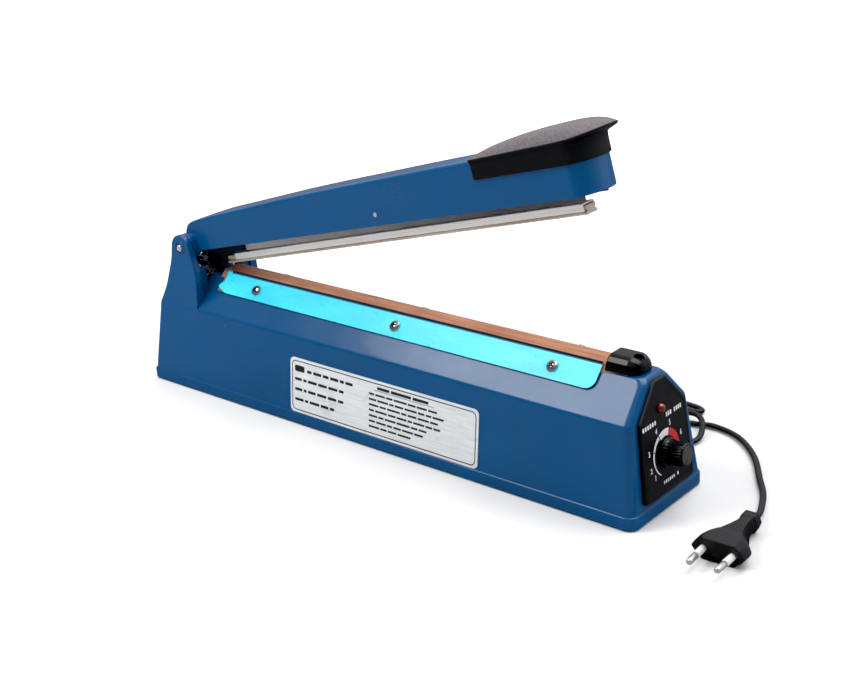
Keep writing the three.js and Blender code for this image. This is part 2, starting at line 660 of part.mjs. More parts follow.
// ---------------------------------------------------------------- transformer, timer board
const CORE_BOTTOM = 2.3;
const coreWindow = (x0, x1) => box(x0, x1, -30, 30, CORE_BOTTOM + 9, CORE_BOTTOM + 31);
add('transformer_core', cut(
  box(-110, -66, -24, 24, CORE_BOTTOM, CORE_BOTTOM + 40),
  coreWindow(-103, -91),
  coreWindow(-85, -73)), DARK_STEEL);
add('transformer_winding', cut(
  box(-102.6, -73.4, -29, 29, CORE_BOTTOM + 9.4, CORE_BOTTOM + 30.6),
  box(-91.4, -84.6, -24.6, 24.6, CORE_BOTTOM, CORE_BOTTOM + 45)), COPPER);

const BOARD_TOP = 6.6;
add('timer_board', box(92, 168, -22, 22, 5, BOARD_TOP), BOARD_GREEN);
add('timer_relay', box(100, 119, -16, 0, BOARD_TOP + 0.05, 22), WHITE);
add('timer_capacitor', cylinder(5, 20, 'z', [132, 8, 16.7], 20), BLUE);
add('board_heatsink', cut(
  box(142, 160, -18, 2, BOARD_TOP + 0.05, 24),
  ...[145, 150, 155].map((x) => box(x, x + 2, -15, 4, 10, 30))), ALUMINIUM);

// ---------------------------------------------------------------- mains cable
function strainRelief() {
  const part = (radius, length, y, segments, endRadius) =>
    cylinder(radius, length, 'y', [CORD.x, y, CORD.z], segments, endRadius);
  const body = union(part(4.15, 5, 35.3, 20), part(6, 1.8, 38.4, 20), part(4.6, 7, 42.1, 20, 3.4));
  return cut(body, part(2.3, 40, 40, 16));
}
add('strain_relief', strainRelief(), BLACK);

// x, y, z: surplus length lies in loops behind the base, then runs round the end to the plug
const CABLE_PATH = [
  [CORD.x, 31, CORD.z], [CORD.x, 38, CORD.z], [CORD.x, 47, CORD.z - 0.5], [147, 57, 18],
  [138, 66, 11], [122, 79, 8], [106, 92, 7.8], [95, 106, 6.5], [98, 121, 3], [116, 128, 2.3],
  [138, 129, 2.3], [154, 128, 2.3], [160.5, 124.4, 2.3], [154, 120.6, 2.3], [132, 120.5, 2.3],
  [110, 115, 2.3], [101, 105, 2.3], [109, 96, 2.3], [128, 99, 2.3], [146, 108, 3.4],
  [160, 111.5, 5.6], [170.5, 105.5, 6.6], [177.5, 95, 4.6], [180, 84, 2.6], [174, 73, 2.3],
  [158, 65.5, 2.3], [141, 67, 2.3], [133, 77, 2.3], [139, 90, 2.3], [152, 99.5, 2.3],
  [168, 105, 2.3], [180, 108, 2.3], [200.3, 101.6, 2.3], [221, 83, 2.3], [238.5, 57.6, 2.3],
  [248.8, 42, 2.4], [257, 24, 3.2], [261.2, 12, 5.6], [262, 5.2, 6.9],
];
add('mains_cable', wire(CABLE_PATH, 1.9, 150, 6), BLACK);

// ---------------------------------------------------------------- plug
// local +x runs from the cable to the pins
const plug = addGroup();
plug.position.set(262, 4, 7);
plug.rotation.z = degToRad(-87.5);

function plugBody() {
  // fractions of half width and half height, one half of the section
  const section = symmetric([
    [0.62, -1], [0.86, -0.62], [1, -0.12], [1, 0.12], [0.86, 0.62], [0.62, 1],
  ]);
  // x, half width, half height
  const stations = [
    [0, 5.4, 4.8], [0.8, 6.1, 5.6], [6.2, 6.1, 5.6], [7, 5.2, 4.9], [17, 5.9, 5.3],
    [28, 11.2, 6.3], [34.5, 15.6, 6.8], [40, 16.6, 6.9], [42.9, 16, 6.8], [43.5, 15.2, 6.3],
  ];
  const body = loft(stations.map(([x, halfWidth, halfHeight]) =>
    section.map(([y, z]) => [x, y * halfWidth, z * halfHeight])));
  const grooves = [];
  for (let i = 0; i < 4; i++) {
    for (const side of SIDES) {
      const x = 11.5 + i * 4;
      const y = side * (5.2 + i * 1.15);
      grooves.push(box(x, x + 1.2, y - 1.2, y + 1.2, -9, 9));
    }
  }
  return cut(body, ...grooves,
    cylinder(2.3, 3, 'x', [0.2, 0, 0], 12),
    ...SIDES.map((side) => cylinder(2.6, 8, 'x', [42, side * 8.9, 0], 12)));
}
add('plug_body', plugBody(), BLACK, plug);

// the pins converge slightly towards their tips
function plugPin(side) {
  // radius, distance along the pin
  const profile = [
    [0, 0], [1.9, 0], [1.9, 13.4], [2, 13.6], [2, 21.4], [1.6, 22.2], [0, 22.5],
  ];
  return lathe(profile, 14).rotateY(Math.PI / 2).rotateZ(-side * 0.03)
    .translate(38.4, side * 8.95, 0);
}
add('plug_pin_left', plugPin(-1), STEEL, plug);
add('plug_pin_right', plugPin(1), STEEL, plug);

// ---------------------------------------------------------------- arm
// inside this group x = u along the arm, z = w above the pin axis
const arm = addGroup();
arm.position.set(HINGE.x, 0, HINGE.z);
arm.rotation.y = -OPEN_ANGLE;

// u, w of the upper edge
const ARM_TOP = [
  [9, 16.3], [16, 17.1], [31, 17.8], [61, 19.1], [99, 20.8], [133, 21.9], [166, 22.6],
  [195, 23.2], [230, 23.9], [275, 24.4], [NOSE_END + 1, 24.6],
];

// half ellipse round the tip, seen from above
function noseCurve(start, length, halfWidth, steps) {
  return arc(0, 0, 1, -90, 90, steps).map(([u, y]) => [start + length * u, halfWidth * y]);
}

// plan of the arm, grown by `offset`: straight sides and elliptical nose
function armPlan(offset, start, steps = 20) {
  const halfWidth = ARM.halfWidth + offset;
  return [
    [start, -halfWidth],
    ...noseCurve(NOSE.start, NOSE.length + offset, halfWidth, steps),
    [start, halfWidth],
  ];
}

function armShell() {
  const side = [
    [-2, ARM.bottom], [NOSE_END + 1, ARM.bottom], ...ARM_TOP.toReversed(),
    [4.2, 15.2], [1, 13.4], [-1.1, 9.8], [-1.8, 7.2], [-2.4, 0],
  ];
  const innerTop = ARM_TOP.slice(1).map(([u, w]) => [u, w - ARM.wall]);
  const hollowSide = [[13, -30], [NOSE_END + 2, -30], ...innerTop.reverse(), [13, 14.4]];
  const innerHalf = ARM.halfWidth - ARM.wall;
  const hollow = common(prismY(hollowSide, -innerHalf, innerHalf),
    prismZ(armPlan(-ARM.wall, 10), -40, 60));
  // second cavity, between the hinge lugs
  const lugHalf = ARM.halfWidth - 4.2;
  const lugSide = [[-12, -12], [14, -12], [14, 7], [4, 12], [0.6, 9.4], [0.4, 2], [-12, 2]];

  const body = common(prismY(side, -ARM.halfWidth, ARM.halfWidth), prismZ(armPlan(0, -20), -20, 60));
  const boss = cylinder(9, 2 * (EAR.inner - 0.35), 'y', [0, 0, 0], 36);
  const shell = cut(union(body, boss),
    hollow,
    prismY(lugSide, -lugHalf, lugHalf),
    cylinder(2.8, 60, 'y', [0, 0, 0], 28),
    cylinder(FLOAT.holeRadius, 60, 'y', [FLOAT.u, 0, FLOAT.w], 16));
  const ribHalf = ARM.halfWidth - 1;
  const ribs = [80, 150, 232, 305].map((u) => box(u - 1, u + 1, -ribHalf, ribHalf, -0.4, 19));
  return union(shell, ...ribs);
}
add('arm_shell', armShell(), BLUE, arm);

// ---------------------------------------------------------------- grip cap
// linear interpolation in a table of (u, w), held constant past its ends
function interpolate(table, u) {
  let i = 0;
  while (i < table.length - 2 && u > table[i + 1][0]) i++;
  const [[u0, w0], [u1, w1]] = table.slice(i, i + 2);
  return w0 + (w1 - w0) * clamp((u - u0) / (u1 - u0), 0, 1);
}
// u, w of the rim and of the crown of the pad
const PAD_EDGE = [
  [278, 25.6], [298, 26], [318, 26.5], [338, 27], [351, 27.7], [360, 28.8], [368, 30.3],
];
const PAD_CROWN = [
  [278, 27.9], [283, 30], [290, 31.5], [300, 32.6], [315, 33.5], [330, 34.2], [342, 34.5],
  [351, 34.3], [358, 33.5], [364, 32.4], [368, 31.2],
];
const edge = (u) => interpolate(PAD_EDGE, u);
const crown = (u) => interpolate(PAD_CROWN, u);

// arm plan grown at the sides and at the nose, each point at the height given by heightAt(u)
function capRing(sideGrowth, noseGrowth, start, heightAt, noseStart = NOSE.start) {
  const halfWidth = ARM.halfWidth + sideGrowth;
  const step = (noseStart - start) / 3;
  const straight = [start, start + step, start + 2 * step];
  const plan = [
    ...straight.map((u) => [u, -halfWidth]),
    ...noseCurve(noseStart, NOSE.length + noseGrowth, halfWidth, 24),
    ...straight.reverse().map((u) => [u, halfWidth]),
  ];
  return plan.map(([u, y]) => [u, y, heightAt(u)]);
}

function gripCap() {
  const lip = { side: 2.6, nose: 11.2 };
  // side growth, nose growth, drop below the rim
  const flare = [
    [1.6, 3.2, 2.9], [2.1, 7.5, 2.2], [2.5, 10.6, 1.5], [lip.side, lip.nose, 0.8],
  ];
  // shrink towards the middle, share of the rise from rim to crown
  const dome = [[0.1, 0.38], [0.25, 0.68], [0.5, 0.92], [0.78, 1]];
  const body = loft([
    capRing(1.4, 1.4, GRIP.start, () => GRIP.bottom),
    capRing(1.4, 1.4, GRIP.start, (u) => Math.min(22.2, edge(u) - 3.4)),
    ...flare.map(([side, nose, drop]) => capRing(side, nose, GRIP.start, (u) => edge(u) - drop)),
    capRing(2.4, 10.7, GRIP.start + 0.2, edge),
    ...dome.map(([shrink, rise]) => capRing(
      lip.side - (ARM.halfWidth + lip.side) * shrink,
      lip.nose - (NOSE.length + lip.nose) * shrink,
      GRIP.start + 0.5 + 12 * shrink,
      (u) => edge(u) + rise * (crown(u) - edge(u)),
      NOSE.start - 16 * shrink)),
  ]);
  // hollow that fits over the arm
  const gap = 0.3;
  const [back, middle, tip] = ARM_TOP.slice(-3);
  const hollowSide = [
    [240, -10], [NOSE_END + 6, -10], [NOSE_END + 6, tip[1] + gap],
    [middle[0], middle[1] + gap], [back[0], back[1] + gap],
  ];
  return cut(body, common(prismY(hollowSide, -40, 40), prismZ(armPlan(gap, 200, 24), -20, 60)));
}
add('grip_cap', gripCap(), BLACK, arm);

// ---------------------------------------------------------------- parts under the arm shell
// inverted channel with a slot for the bar hanger
function armRail() {
  const half = [[12, -1], [12, -8.7], [10.9, -8.7], [10.9, -2.1]];    // y, w
  return cut(prismX(symmetric(half), 52, 347.5),
    box(FLOAT.u - 8.5, FLOAT.u + 8.5, -7.5, 7.5, -3, 2));
}
add('arm_rail', armRail(), DARK_STEEL, arm);

// insert that closes the arm at the hinge, with the block that presses the switch
add('switch_actuator', union(
  box(13.5, 51.4, -15.6, 15.6, -8.6, -6.2),
  box(4.5, 14, -13.8, 13.8, -8.6, -6.2),
  prismZ(roundedRect(1.6, 11, -6.5, 6.5, 0.8, 2), -21.2, -6.3)), BLACK, arm);
const floatPin = cylinder(1.5, 2 * ARM.halfWidth - 0.4, 'y', [FLOAT.u, 0, FLOAT.w], 16);
add('float_pin', toSolid(floatPin), STEEL, arm);

// ---------------------------------------------------------------- pressure bar
// floats on the cross pin
const bar = addGroup(arm);
bar.position.set(FLOAT.u, 0, FLOAT.w);
bar.rotation.y = -BAR.tilt;

// channel with inturned lips that holds the silicone strip
const CHANNEL = {
  outerHalf: 6, innerHalf: 5, mouthHalf: 4.4, innerTop: BAR.top - 1, lipTop: BAR.lip + 0.9,
};
function pressureBar() {
  const { outerHalf, innerHalf, mouthHalf, innerTop, lipTop } = CHANNEL;
  return prismX(symmetric([
    [outerHalf, BAR.top], [outerHalf, BAR.lip], [mouthHalf, BAR.lip],
    [mouthHalf, lipTop], [innerHalf, lipTop], [innerHalf, innerTop],
  ]), BAR.start, BAR.end);
}
add('pressure_bar', pressureBar(), ALUMINIUM, bar);

function siliconeStrip() {
  const gap = 0.3;
  const faceHalf = 5.6;
  const chamfer = 0.6;
  const head = CHANNEL.innerHalf - gap;
  const neck = CHANNEL.mouthHalf - gap;
  return prismX(symmetric([
    [head, CHANNEL.innerTop - gap], [head, CHANNEL.lipTop + gap],
    [neck, CHANNEL.lipTop + gap], [neck, BAR.lip - gap], [faceHalf, BAR.lip - gap],
    [faceHalf, STRIP_BOTTOM + chamfer], [faceHalf - chamfer, STRIP_BOTTOM],
  ]), BAR.start - 9.7, BAR.end + 1.4);
}
add('silicone_strip', siliconeStrip(), RUBBER, bar);

// foot plate with two round-headed cheeks on the cross pin
function barHanger() {
  const { top } = BAR;
  const outer = 5.2;
  const cheek = [[-4.4, top + 0.4], [4.4, top + 0.4], ...arc(0, 0, 4.2, 0, 180, 10)];
  const body = union(
    box(-7, 7, -outer, outer, top + 0.3, top + 1.5),
    ...SIDES.map((side) => sidePrism(cheek, side, 4, outer)));
  return cut(body, cylinder(FLOAT.holeRadius, 20, 'y', [0, 0, 0], 16));
}
add('bar_hanger', barHanger(), DARK_STEEL, bar);

export default root;
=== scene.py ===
"""Table-top impulse heat sealer with its arm raised, its mains cord and its plug.

The base lies along X: hinge at -X, leaning control panel at +X. The front is -Y and
Z is up from the floor. Lengths are millimetres until raw() turns them into metres.
"""
import bpy
import bmesh
import json
from math import acos, atan2, cos, exp, hypot, pi, radians, sin, sqrt, tan
from mathutils import Matrix, Vector, noise

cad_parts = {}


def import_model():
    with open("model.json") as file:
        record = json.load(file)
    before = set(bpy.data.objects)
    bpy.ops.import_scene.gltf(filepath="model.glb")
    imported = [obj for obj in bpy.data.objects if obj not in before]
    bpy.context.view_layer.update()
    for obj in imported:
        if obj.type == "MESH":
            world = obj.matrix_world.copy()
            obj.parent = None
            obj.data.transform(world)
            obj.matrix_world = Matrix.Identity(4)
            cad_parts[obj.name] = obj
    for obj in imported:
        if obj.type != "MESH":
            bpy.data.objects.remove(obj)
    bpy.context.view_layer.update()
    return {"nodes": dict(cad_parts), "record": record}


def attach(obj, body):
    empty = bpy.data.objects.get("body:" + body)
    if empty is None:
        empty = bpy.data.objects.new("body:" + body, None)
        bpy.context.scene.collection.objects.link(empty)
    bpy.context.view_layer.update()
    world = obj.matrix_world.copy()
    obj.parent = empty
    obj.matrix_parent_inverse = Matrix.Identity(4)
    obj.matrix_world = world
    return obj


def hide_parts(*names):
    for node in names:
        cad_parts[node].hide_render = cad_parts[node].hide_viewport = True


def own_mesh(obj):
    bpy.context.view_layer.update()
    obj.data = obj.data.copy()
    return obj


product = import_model()
SIDES = ((-1, "front"), (1, "rear"))

# ---------------------------------------------------------------- shared dimensions
SKIRT_X0, SKIRT_X1, SKIRT_Y0, SKIRT_Y1 = -211.5, 210.0, -38.6, 39.5
SKIRT_TOP = 8.8
FOOT_FRONT, FOOT_REAR = 37.7, 38.6      # half widths at the foot of the walls
EAVES_Y, EAVES_Z = 31.3, 61.5           # wall meets roof facet
RIDGE_Y, RIDGE_Z = 10.7, 83.4           # roof facet meets flat top
WALL_RISE = EAVES_Z - SKIRT_TOP
END_X = 209
END_LEAN = atan2(5.6, WALL_RISE)
PIN = (-175.9, 104.9)                   # hinge pin (x, z)
ARM_OPEN = radians(14.53)
ARM_HALF, ARM_WALL, ARM_BOTTOM = 18.5, 2.2, -5.6
NOSE_X, NOSE_R = 344.0, 12.5            # arm nose: start and length
CAP_X, CAP_BOTTOM = 278.3, 13.3         # grip cap
FLOAT_PIN = (190.6, 1.7)                # bar pivot in the arm frame (x, z)
BAR_TILT = radians(0.3)
SCREW_X, SCREW_Y = (-113.2, 16.0, 139.8), 5.6
KNOB, LAMP = (-1.4, 28.3), (-4.2, 56.6)  # centres on the control panel
CAP_SCREW_X = 190.2
CORD = (150, 24)                        # cord exit in the rear wall (x, z)


def end_x(z):
    return END_X - (z - SKIRT_TOP) * tan(END_LEAN)


def left_x(z):
    return -210.4 + (z - SKIRT_TOP) * 7.4 / WALL_RISE


# ---------------------------------------------------------------- frames
# Each maps local x, y, z to a point in the product's frame.
def world(x, y, z):
    return Vector((x, y, z))


def tilted(x0, z0, angle):
    """Frame turned about Y, with its origin at (x0, 0, z0)."""
    def place(x, y, z):
        return Vector((x0 + x * cos(angle) - z * sin(angle), y,
                       z0 + x * sin(angle) + z * cos(angle)))
    return place


arm_at = tilted(*PIN, ARM_OPEN)
float_centre = arm_at(FLOAT_PIN[0], 0, FLOAT_PIN[1])
bar_at = tilted(float_centre.x, float_centre.z, ARM_OPEN + BAR_TILT)


def panel_at(x, y, z):
    """Leaning end face: x towards the rear, y up the face, z out of it."""
    return Vector((END_X - y * sin(END_LEAN) + z * cos(END_LEAN), x,
                   SKIRT_TOP + y * cos(END_LEAN) + z * sin(END_LEAN)))


slope_length = hypot(EAVES_Y - RIDGE_Y, RIDGE_Z - EAVES_Z)
SLOPE = ((EAVES_Y - RIDGE_Y) / slope_length, -(RIDGE_Z - EAVES_Z) / slope_length)
SLOPE_OUT = (-SLOPE[1], SLOPE[0])


def facet(side):
    """Roof facet: x along the base, y down the slope from the ridge, z out."""
    return lambda x, y, z: Vector((
        x, side * (RIDGE_Y + SLOPE[0] * y + SLOPE_OUT[0] * z),
        RIDGE_Z + SLOPE[1] * y + SLOPE_OUT[1] * z))


LABEL_X, LABEL_Z = 15.5, 28.5
wall_out = Vector((0, -WALL_RISE, FOOT_FRONT - EAVES_Y)).normalized()
wall_up = Vector((0, FOOT_FRONT - EAVES_Y, WALL_RISE)).normalized()
label_centre = Vector((LABEL_X, -(FOOT_FRONT + (EAVES_Y - FOOT_FRONT)
                                  * (LABEL_Z - SKIRT_TOP) / WALL_RISE), LABEL_Z))


def label_at(x, y, z):
    return label_centre + Vector((1, 0, 0)) * x + wall_up * y + wall_out * z


PLUG_TURN = radians(-87.5)


def plug_at(x, y, z):
    """Plug: x from the cord end towards the pins, z up."""
    return Vector((262.0 + x * cos(PLUG_TURN) - y * sin(PLUG_TURN),
                   4.0 + x * sin(PLUG_TURN) + y * cos(PLUG_TURN), 7.0 + z))


# ---------------------------------------------------------------- outlines
def box(x0, x1, y0, y1):
    return [(x0, y0), (x1, y0), (x1, y1), (x0, y1)]


def circle(radius, sides=32, centre=(0, 0)):
    return [(centre[0] + radius * cos(2 * pi * i / sides),
             centre[1] + radius * sin(2 * pi * i / sides)) for i in range(sides)]


def arc(centre, start, end, steps, radius0, radius1=None):
    """Arc between two angles in degrees; the radius may change along it."""
    radius1 = radius0 if radius1 is None else radius1
    points = []
    for i in range(steps + 1):
        angle = radians(start + (end - start) * i / steps)
        radius = radius0 + (radius1 - radius0) * i / steps
        points.append((centre[0] + radius * cos(angle), centre[1] + radius * sin(angle)))
    return points


def rounded(points, radii, steps=5):
    """Polygon with each corner replaced by an arc."""
    out = []
    count = len(points)
    if not isinstance(radii, (list, tuple)):
        radii = [radii] * count
    for i, radius in enumerate(radii):
        before, corner, after = (Vector(points[k]) for k in (i - 1, i, (i + 1) % count))
        back, ahead = before - corner, after - corner
        shortest = min(back.length, ahead.length)
        back /= back.length
        ahead /= ahead.length
        angle = acos(max(-1, min(1, back.dot(ahead))))
        if radius < 1e-6 or angle > pi - 0.02:
            out.append((corner.x, corner.y))
            continue
        trim = radius / tan(angle / 2)
        if trim > 0.49 * shortest:
            trim = 0.49 * shortest
            radius = trim * tan(angle / 2)
        centre = corner + (back + ahead).normalized() * (radius / sin(angle / 2))
        first = corner + back * trim - centre
        last = corner + ahead * trim - centre
        start = atan2(first.y, first.x)
        turn = (atan2(last.y, last.x) - start + pi) % (2 * pi) - pi
        for k in range(steps + 1):
            angle = start + turn * k / steps
            out.append((centre.x + radius * cos(angle), centre.y + radius * sin(angle)))
    return out


def rrect(x0, x1, y0, y1, radius, steps=8):
    """Rounded rectangle; radius is one value or four, from the (x0, y0) corner."""
    r = radius if isinstance(radius, (list, tuple)) else [radius] * 4
    corners = [(x0 + r[0], y0 + r[0], pi, r[0]), (x1 - r[1], y0 + r[1], 1.5 * pi, r[1]),
               (x1 - r[2], y1 - r[2], 0, r[2]), (x0 + r[3], y1 - r[3], 0.5 * pi, r[3])]
    out = []
    for cx, cy, start, rad in corners:
        for i in range(steps + 1):
            angle = start + i / steps * pi / 2
            out.append((cx + rad * cos(angle), cy + rad * sin(angle)))
    return out


def curve(table, x):
    """Smooth (cubic Hermite) reading of a table of (x, y)."""
    if x <= table[0][0]:
        return table[0][1]
    for k in range(len(table) - 1):
        if x > table[k + 1][0]:
            continue
        (x0, y0), (x1, y1) = table[k], table[k + 1]
        width = x1 - x0
        t = (x - x0) / width
        start = end = (y1 - y0) / width
        if k > 0:
            start = (y1 - table[k - 1][1]) / (x1 - table[k - 1][0])
        if k + 2 < len(table):
            end = (table[k + 2][1] - y0) / (table[k + 2][0] - x0)
        return ((2 * t ** 3 - 3 * t * t + 1) * y0 + (t ** 3 - 2 * t * t + t) * start * width
                + (-2 * t ** 3 + 3 * t * t) * y1 + (t ** 3 - t * t) * end * width)
    return table[-1][1]


# ---------------------------------------------------------------- geometry: (vertices, faces)
def loft(rings, loop=False):
    """Skin over rings, capped at both ends, or joined last to first if loop."""
    n = len(rings[0])
    verts = [p for ring in rings for p in ring]
    total = len(verts)
    faces = []
    for k in range(len(rings) - (not loop)):
        for j in range(n):
            a, b = k * n + j, k * n + (j + 1) % n
            faces.append((a, b, (b + n) % total, (a + n) % total))
    if not loop:
        faces.append(tuple(reversed(range(n))))
        faces.append(tuple(range(total - n, total)))
    return verts, faces


def ring_at(axis, outline, position, frame=world):
    """Outline laid across a local axis ("x", "y" or "z") at a position along it."""
    k = "xyz".index(axis)
    return [frame(*p[:k], position, *p[k:]) for p in outline]


def prism(axis, outline, start, end, frame=world, steps=1):
    return loft([ring_at(axis, outline, start + (end - start) * k / steps, frame)
                 for k in range(steps + 1)])


def rod(axis, radius, start, end, frame=world, centre=(0, 0), sides=32):
    return prism(axis, circle(radius, sides, centre), start, end, frame)


def lathe(axis, profile, sides, frame=world, centre=(0, 0)):
    """Profile of (radius, position along the axis) turned about the axis."""
    verts, faces, rows = [], [], []
    for radius, position in profile:
        outline = [centre] if radius < 1e-6 else circle(radius, sides, centre)
        rows.append(list(range(len(verts), len(verts) + len(outline))))
        verts += ring_at(axis, outline, position, frame)
    for a, b in zip(rows, rows[1:]):
        for i in range(sides):
            j = (i + 1) % sides
            if len(a) == 1:
                faces.append((a[0], b[i], b[j]))
            elif len(b) == 1:
                faces.append((a[i], b[0], a[j]))
            else:
                faces.append((a[i], b[i], b[j], a[j]))
    if len(rows[0]) > 1:
        faces.append(tuple(rows[0]))
    if len(rows[-1]) > 1:
        faces.append(tuple(reversed(rows[-1])))
    return verts, faces


def sheet(surface, nu, nv, thick):
    """Closed thin sheet; surface(u, v) gives a point and its normal."""
    top, under = [], []
    for j in range(nv + 1):
        for i in range(nu + 1):
            point, normal = surface(i / nu, j / nv)
            top.append(point)
            under.append(point - normal * thick)
    n, w = len(top), nu + 1
    faces = []
    for j in range(nv):
        for i in range(nu):
            a = j * w + i
            faces.append((a, a + 1, a + w + 1, a + w))
            faces.append((n + a + w, n + a + w + 1, n + a + 1, n + a))
    for i in range(nu):
        faces.append((i + 1, i, n + i, n + i + 1))
        a = nv * w + i
        faces.append((a, a + 1, n + a + 1, n + a))
    for j in range(nv):
        a = j * w
        faces.append((a, a + w, n + a + w, n + a))
        a += nu
        faces.append((a + w, a, n + a, n + a + w))
    return top + under, faces


def tube(points, section, samples):
    """Section swept along a Catmull-Rom path with a steady frame."""
    knots = [Vector(p) for p in points]
    path = []
    for i in range(len(knots) - 1):
        p0, p1 = knots[max(0, i - 1)], knots[i]
        p2, p3 = knots[i + 1], knots[min(len(knots) - 1, i + 2)]
        for k in range(samples):
            t = k / samples
            path.append(0.5 * ((2 * p1) + (p2 - p0) * t
                               + (2 * p0 - 5 * p1 + 4 * p2 - p3) * t * t
                               + (3 * p1 - p0 - 3 * p2 + p3) * t ** 3))
    path.append(knots[-1])
    rings = []
    up = None
    for i, point in enumerate(path):
        ahead = (path[min(len(path) - 1, i + 1)] - path[max(0, i - 1)]).normalized()
        if up is None:
            up = Vector((0, 0, 1)) if abs(ahead.z) < 0.9 else Vector((0, 1, 0))
        up = (up - ahead * up.dot(ahead)).normalized()
        across = ahead.cross(up)
        rings.append([point + across * x + up * y for x, y in section])
    return loft(rings)


def merge(parts):
    verts, faces = [], []
    for part_verts, part_faces in parts:
        n = len(verts)
        verts += list(part_verts)
        faces += [tuple(i + n for i in face) for face in part_faces]
    return verts, faces


# ---------------------------------------------------------------- objects
def link(obj):
    bpy.context.scene.collection.objects.link(obj)
    return obj


def raw(name, geometry):
    """Object from (vertices in mm, faces), welded, with normals outwards."""
    verts, faces = geometry
    mesh = bpy.data.meshes.new(name)
    mesh.from_pydata([Vector(v) * 0.001 for v in verts], [], faces)
    mesh.validate()
    bm = bmesh.new()
    bm.from_mesh(mesh)
    bmesh.ops.remove_doubles(bm, verts=bm.verts, dist=2e-7)
    bmesh.ops.recalc_face_normals(bm, faces=bm.faces)
    if bm.calc_volume(signed=True) < 0:
        bmesh.ops.reverse_faces(bm, faces=bm.faces)
    bm.to_mesh(mesh)
    bm.free()
    return link(bpy.data.objects.new(name, mesh))


def bake(obj):
    graph = bpy.context.evaluated_depsgraph_get()
    mesh = bpy.data.meshes.new_from_object(obj.evaluated_get(graph), depsgraph=graph)
    obj.modifiers.clear()
    old = obj.data
    obj.data = mesh
    bpy.data.meshes.remove(old)


def add_bevel(obj, width, segments, angle, clamp=False):
    mod = obj.modifiers.new("bevel", "BEVEL")
    mod.width = width * 0.001
    mod.segments = segments
    mod.limit_method = "ANGLE"
    mod.angle_limit = radians(angle)
    mod.use_clamp_overlap = clamp
    return mod


def boolean(obj, geometry, operation, bevel=0.0, segments=2):
    tool = raw("tool", geometry)
    if bevel:
        add_bevel(tool, bevel, segments, 50).miter_outer = "MITER_ARC"
        bake(tool)
    mod = obj.modifiers.new("boolean", "BOOLEAN")
    mod.object = tool
    mod.operation = operation
    mod.solver = "EXACT"
    bake(obj)
    bpy.data.objects.remove(tool)


def cut(obj, *tools):
    for geometry in tools:
        boolean(obj, geometry, "DIFFERENCE")


def fuse(obj, geometry, **bevel):
    boolean(obj, geometry, "UNION", **bevel)


MATERIALS = {}


def finish(obj, material, replaces=None, body="base", slot=None, bevel=0.0, segments=2,
           angle=38, weighted=True, crease=None):
    """Material, shading and edges of a piece, and what it rides on and stands for."""
    obj.data.materials.clear()
    obj.data.materials.append(MATERIALS[material])
    if bevel:
        add_bevel(obj, bevel, segments, angle)
    obj.data.shade_smooth()
    if crease is not None:
        obj.data.set_sharp_from_angle(angle=radians(crease))
    if weighted:
        mod = obj.modifiers.new("wn", "WEIGHTED_NORMAL")
        mod.keep_sharp = crease is not None
        mod.weight = 60
    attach(obj, body)
    if replaces:
        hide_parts(replaces)
    return obj


def add(name, geometry, material, replaces=None, **options):
    return finish(raw(name, geometry), material, replaces, **options)


# ---------------------------------------------------------------- shader helpers
def srgb(*rgb):
    return tuple(c / 255 / 12.92 if c / 255 <= 0.04045
                 else ((c / 255 + 0.055) / 1.055) ** 2.4 for c in rgb)


def scale_colour(colour, factor):
    return tuple(min(1.0, c * factor) for c in colour)


class Graph:
    """Writer for a node tree. A value is a socket, a number, a colour tuple or a list."""
    def __init__(self, tree, coordinates):
        self.tree = tree
        self.co = self.add("TexCoord", {}, coordinates)

    def put(self, node, values):
        for socket, value in values.items():
            if isinstance(value, bpy.types.NodeSocket):
                self.tree.links.new(value, node.inputs[socket])
            else:
                colour = isinstance(value, tuple)
                node.inputs[socket].default_value = (*value, 1) if colour else value

    def add(self, kind, values, output=0, **props):
        node = self.tree.nodes.new("ShaderNode" + kind)
        for key, value in props.items():
            setattr(node, key, value)
        self.put(node, values)
        return node.outputs[output]

    def stretched(self, x, y, z):
        return self.add("Mapping", {"Vector": self.co, "Scale": [x, y, z]})

    def noise(self, scale, detail=3, rough=0.55, co=None):
        return self.add("TexNoise", {"Scale": scale, "Detail": detail, "Roughness": rough,
                                     "Vector": co or self.co}, "Fac")

    def voronoi(self, scale):
        return self.add("TexVoronoi", {"Scale": scale, "Vector": self.co}, "Distance")

    def wave(self, scale, distortion, axis):
        return self.add("TexWave", {"Scale": scale, "Distortion": distortion,
                                    "Vector": self.co}, "Fac", bands_direction=axis)

    def ramp(self, value, start, end, first=0.0, last=1.0):
        """Grey ramp from first at start to last at end."""
        output = self.add("ValToRGB", {0: value})
        stops = output.node.color_ramp.elements
        for stop, place, grey in zip(stops, (start, end), (first, last)):
            stop.position = place
            stop.color = (grey, grey, grey, 1)
        return output

    def spread(self, value, low, high, start=0.3, end=0.7):
        """Map start..end to low..high; the default input range suits a noise."""
        return self.add("MapRange", {0: value, 1: start, 2: end, 3: low, 4: high})

    def calc(self, operation, a, b):
        return self.add("Math", {0: a, 1: b}, operation=operation)

    def mix(self, factor, a, b):
        return self.add("Mix", {0: factor, 6: a, 7: b}, 2, data_type="RGBA")

    def blend(self, value, low, high):
        return self.mix(self.spread(value, 0, 1), low, high)

    def vary(self, value, colour, amount):
        return self.blend(value, scale_colour(colour, 1 - amount),
                          scale_colour(colour, 1 + amount))

    def part(self, vector, index):
        return self.add("SeparateXYZ", {0: vector}, index)


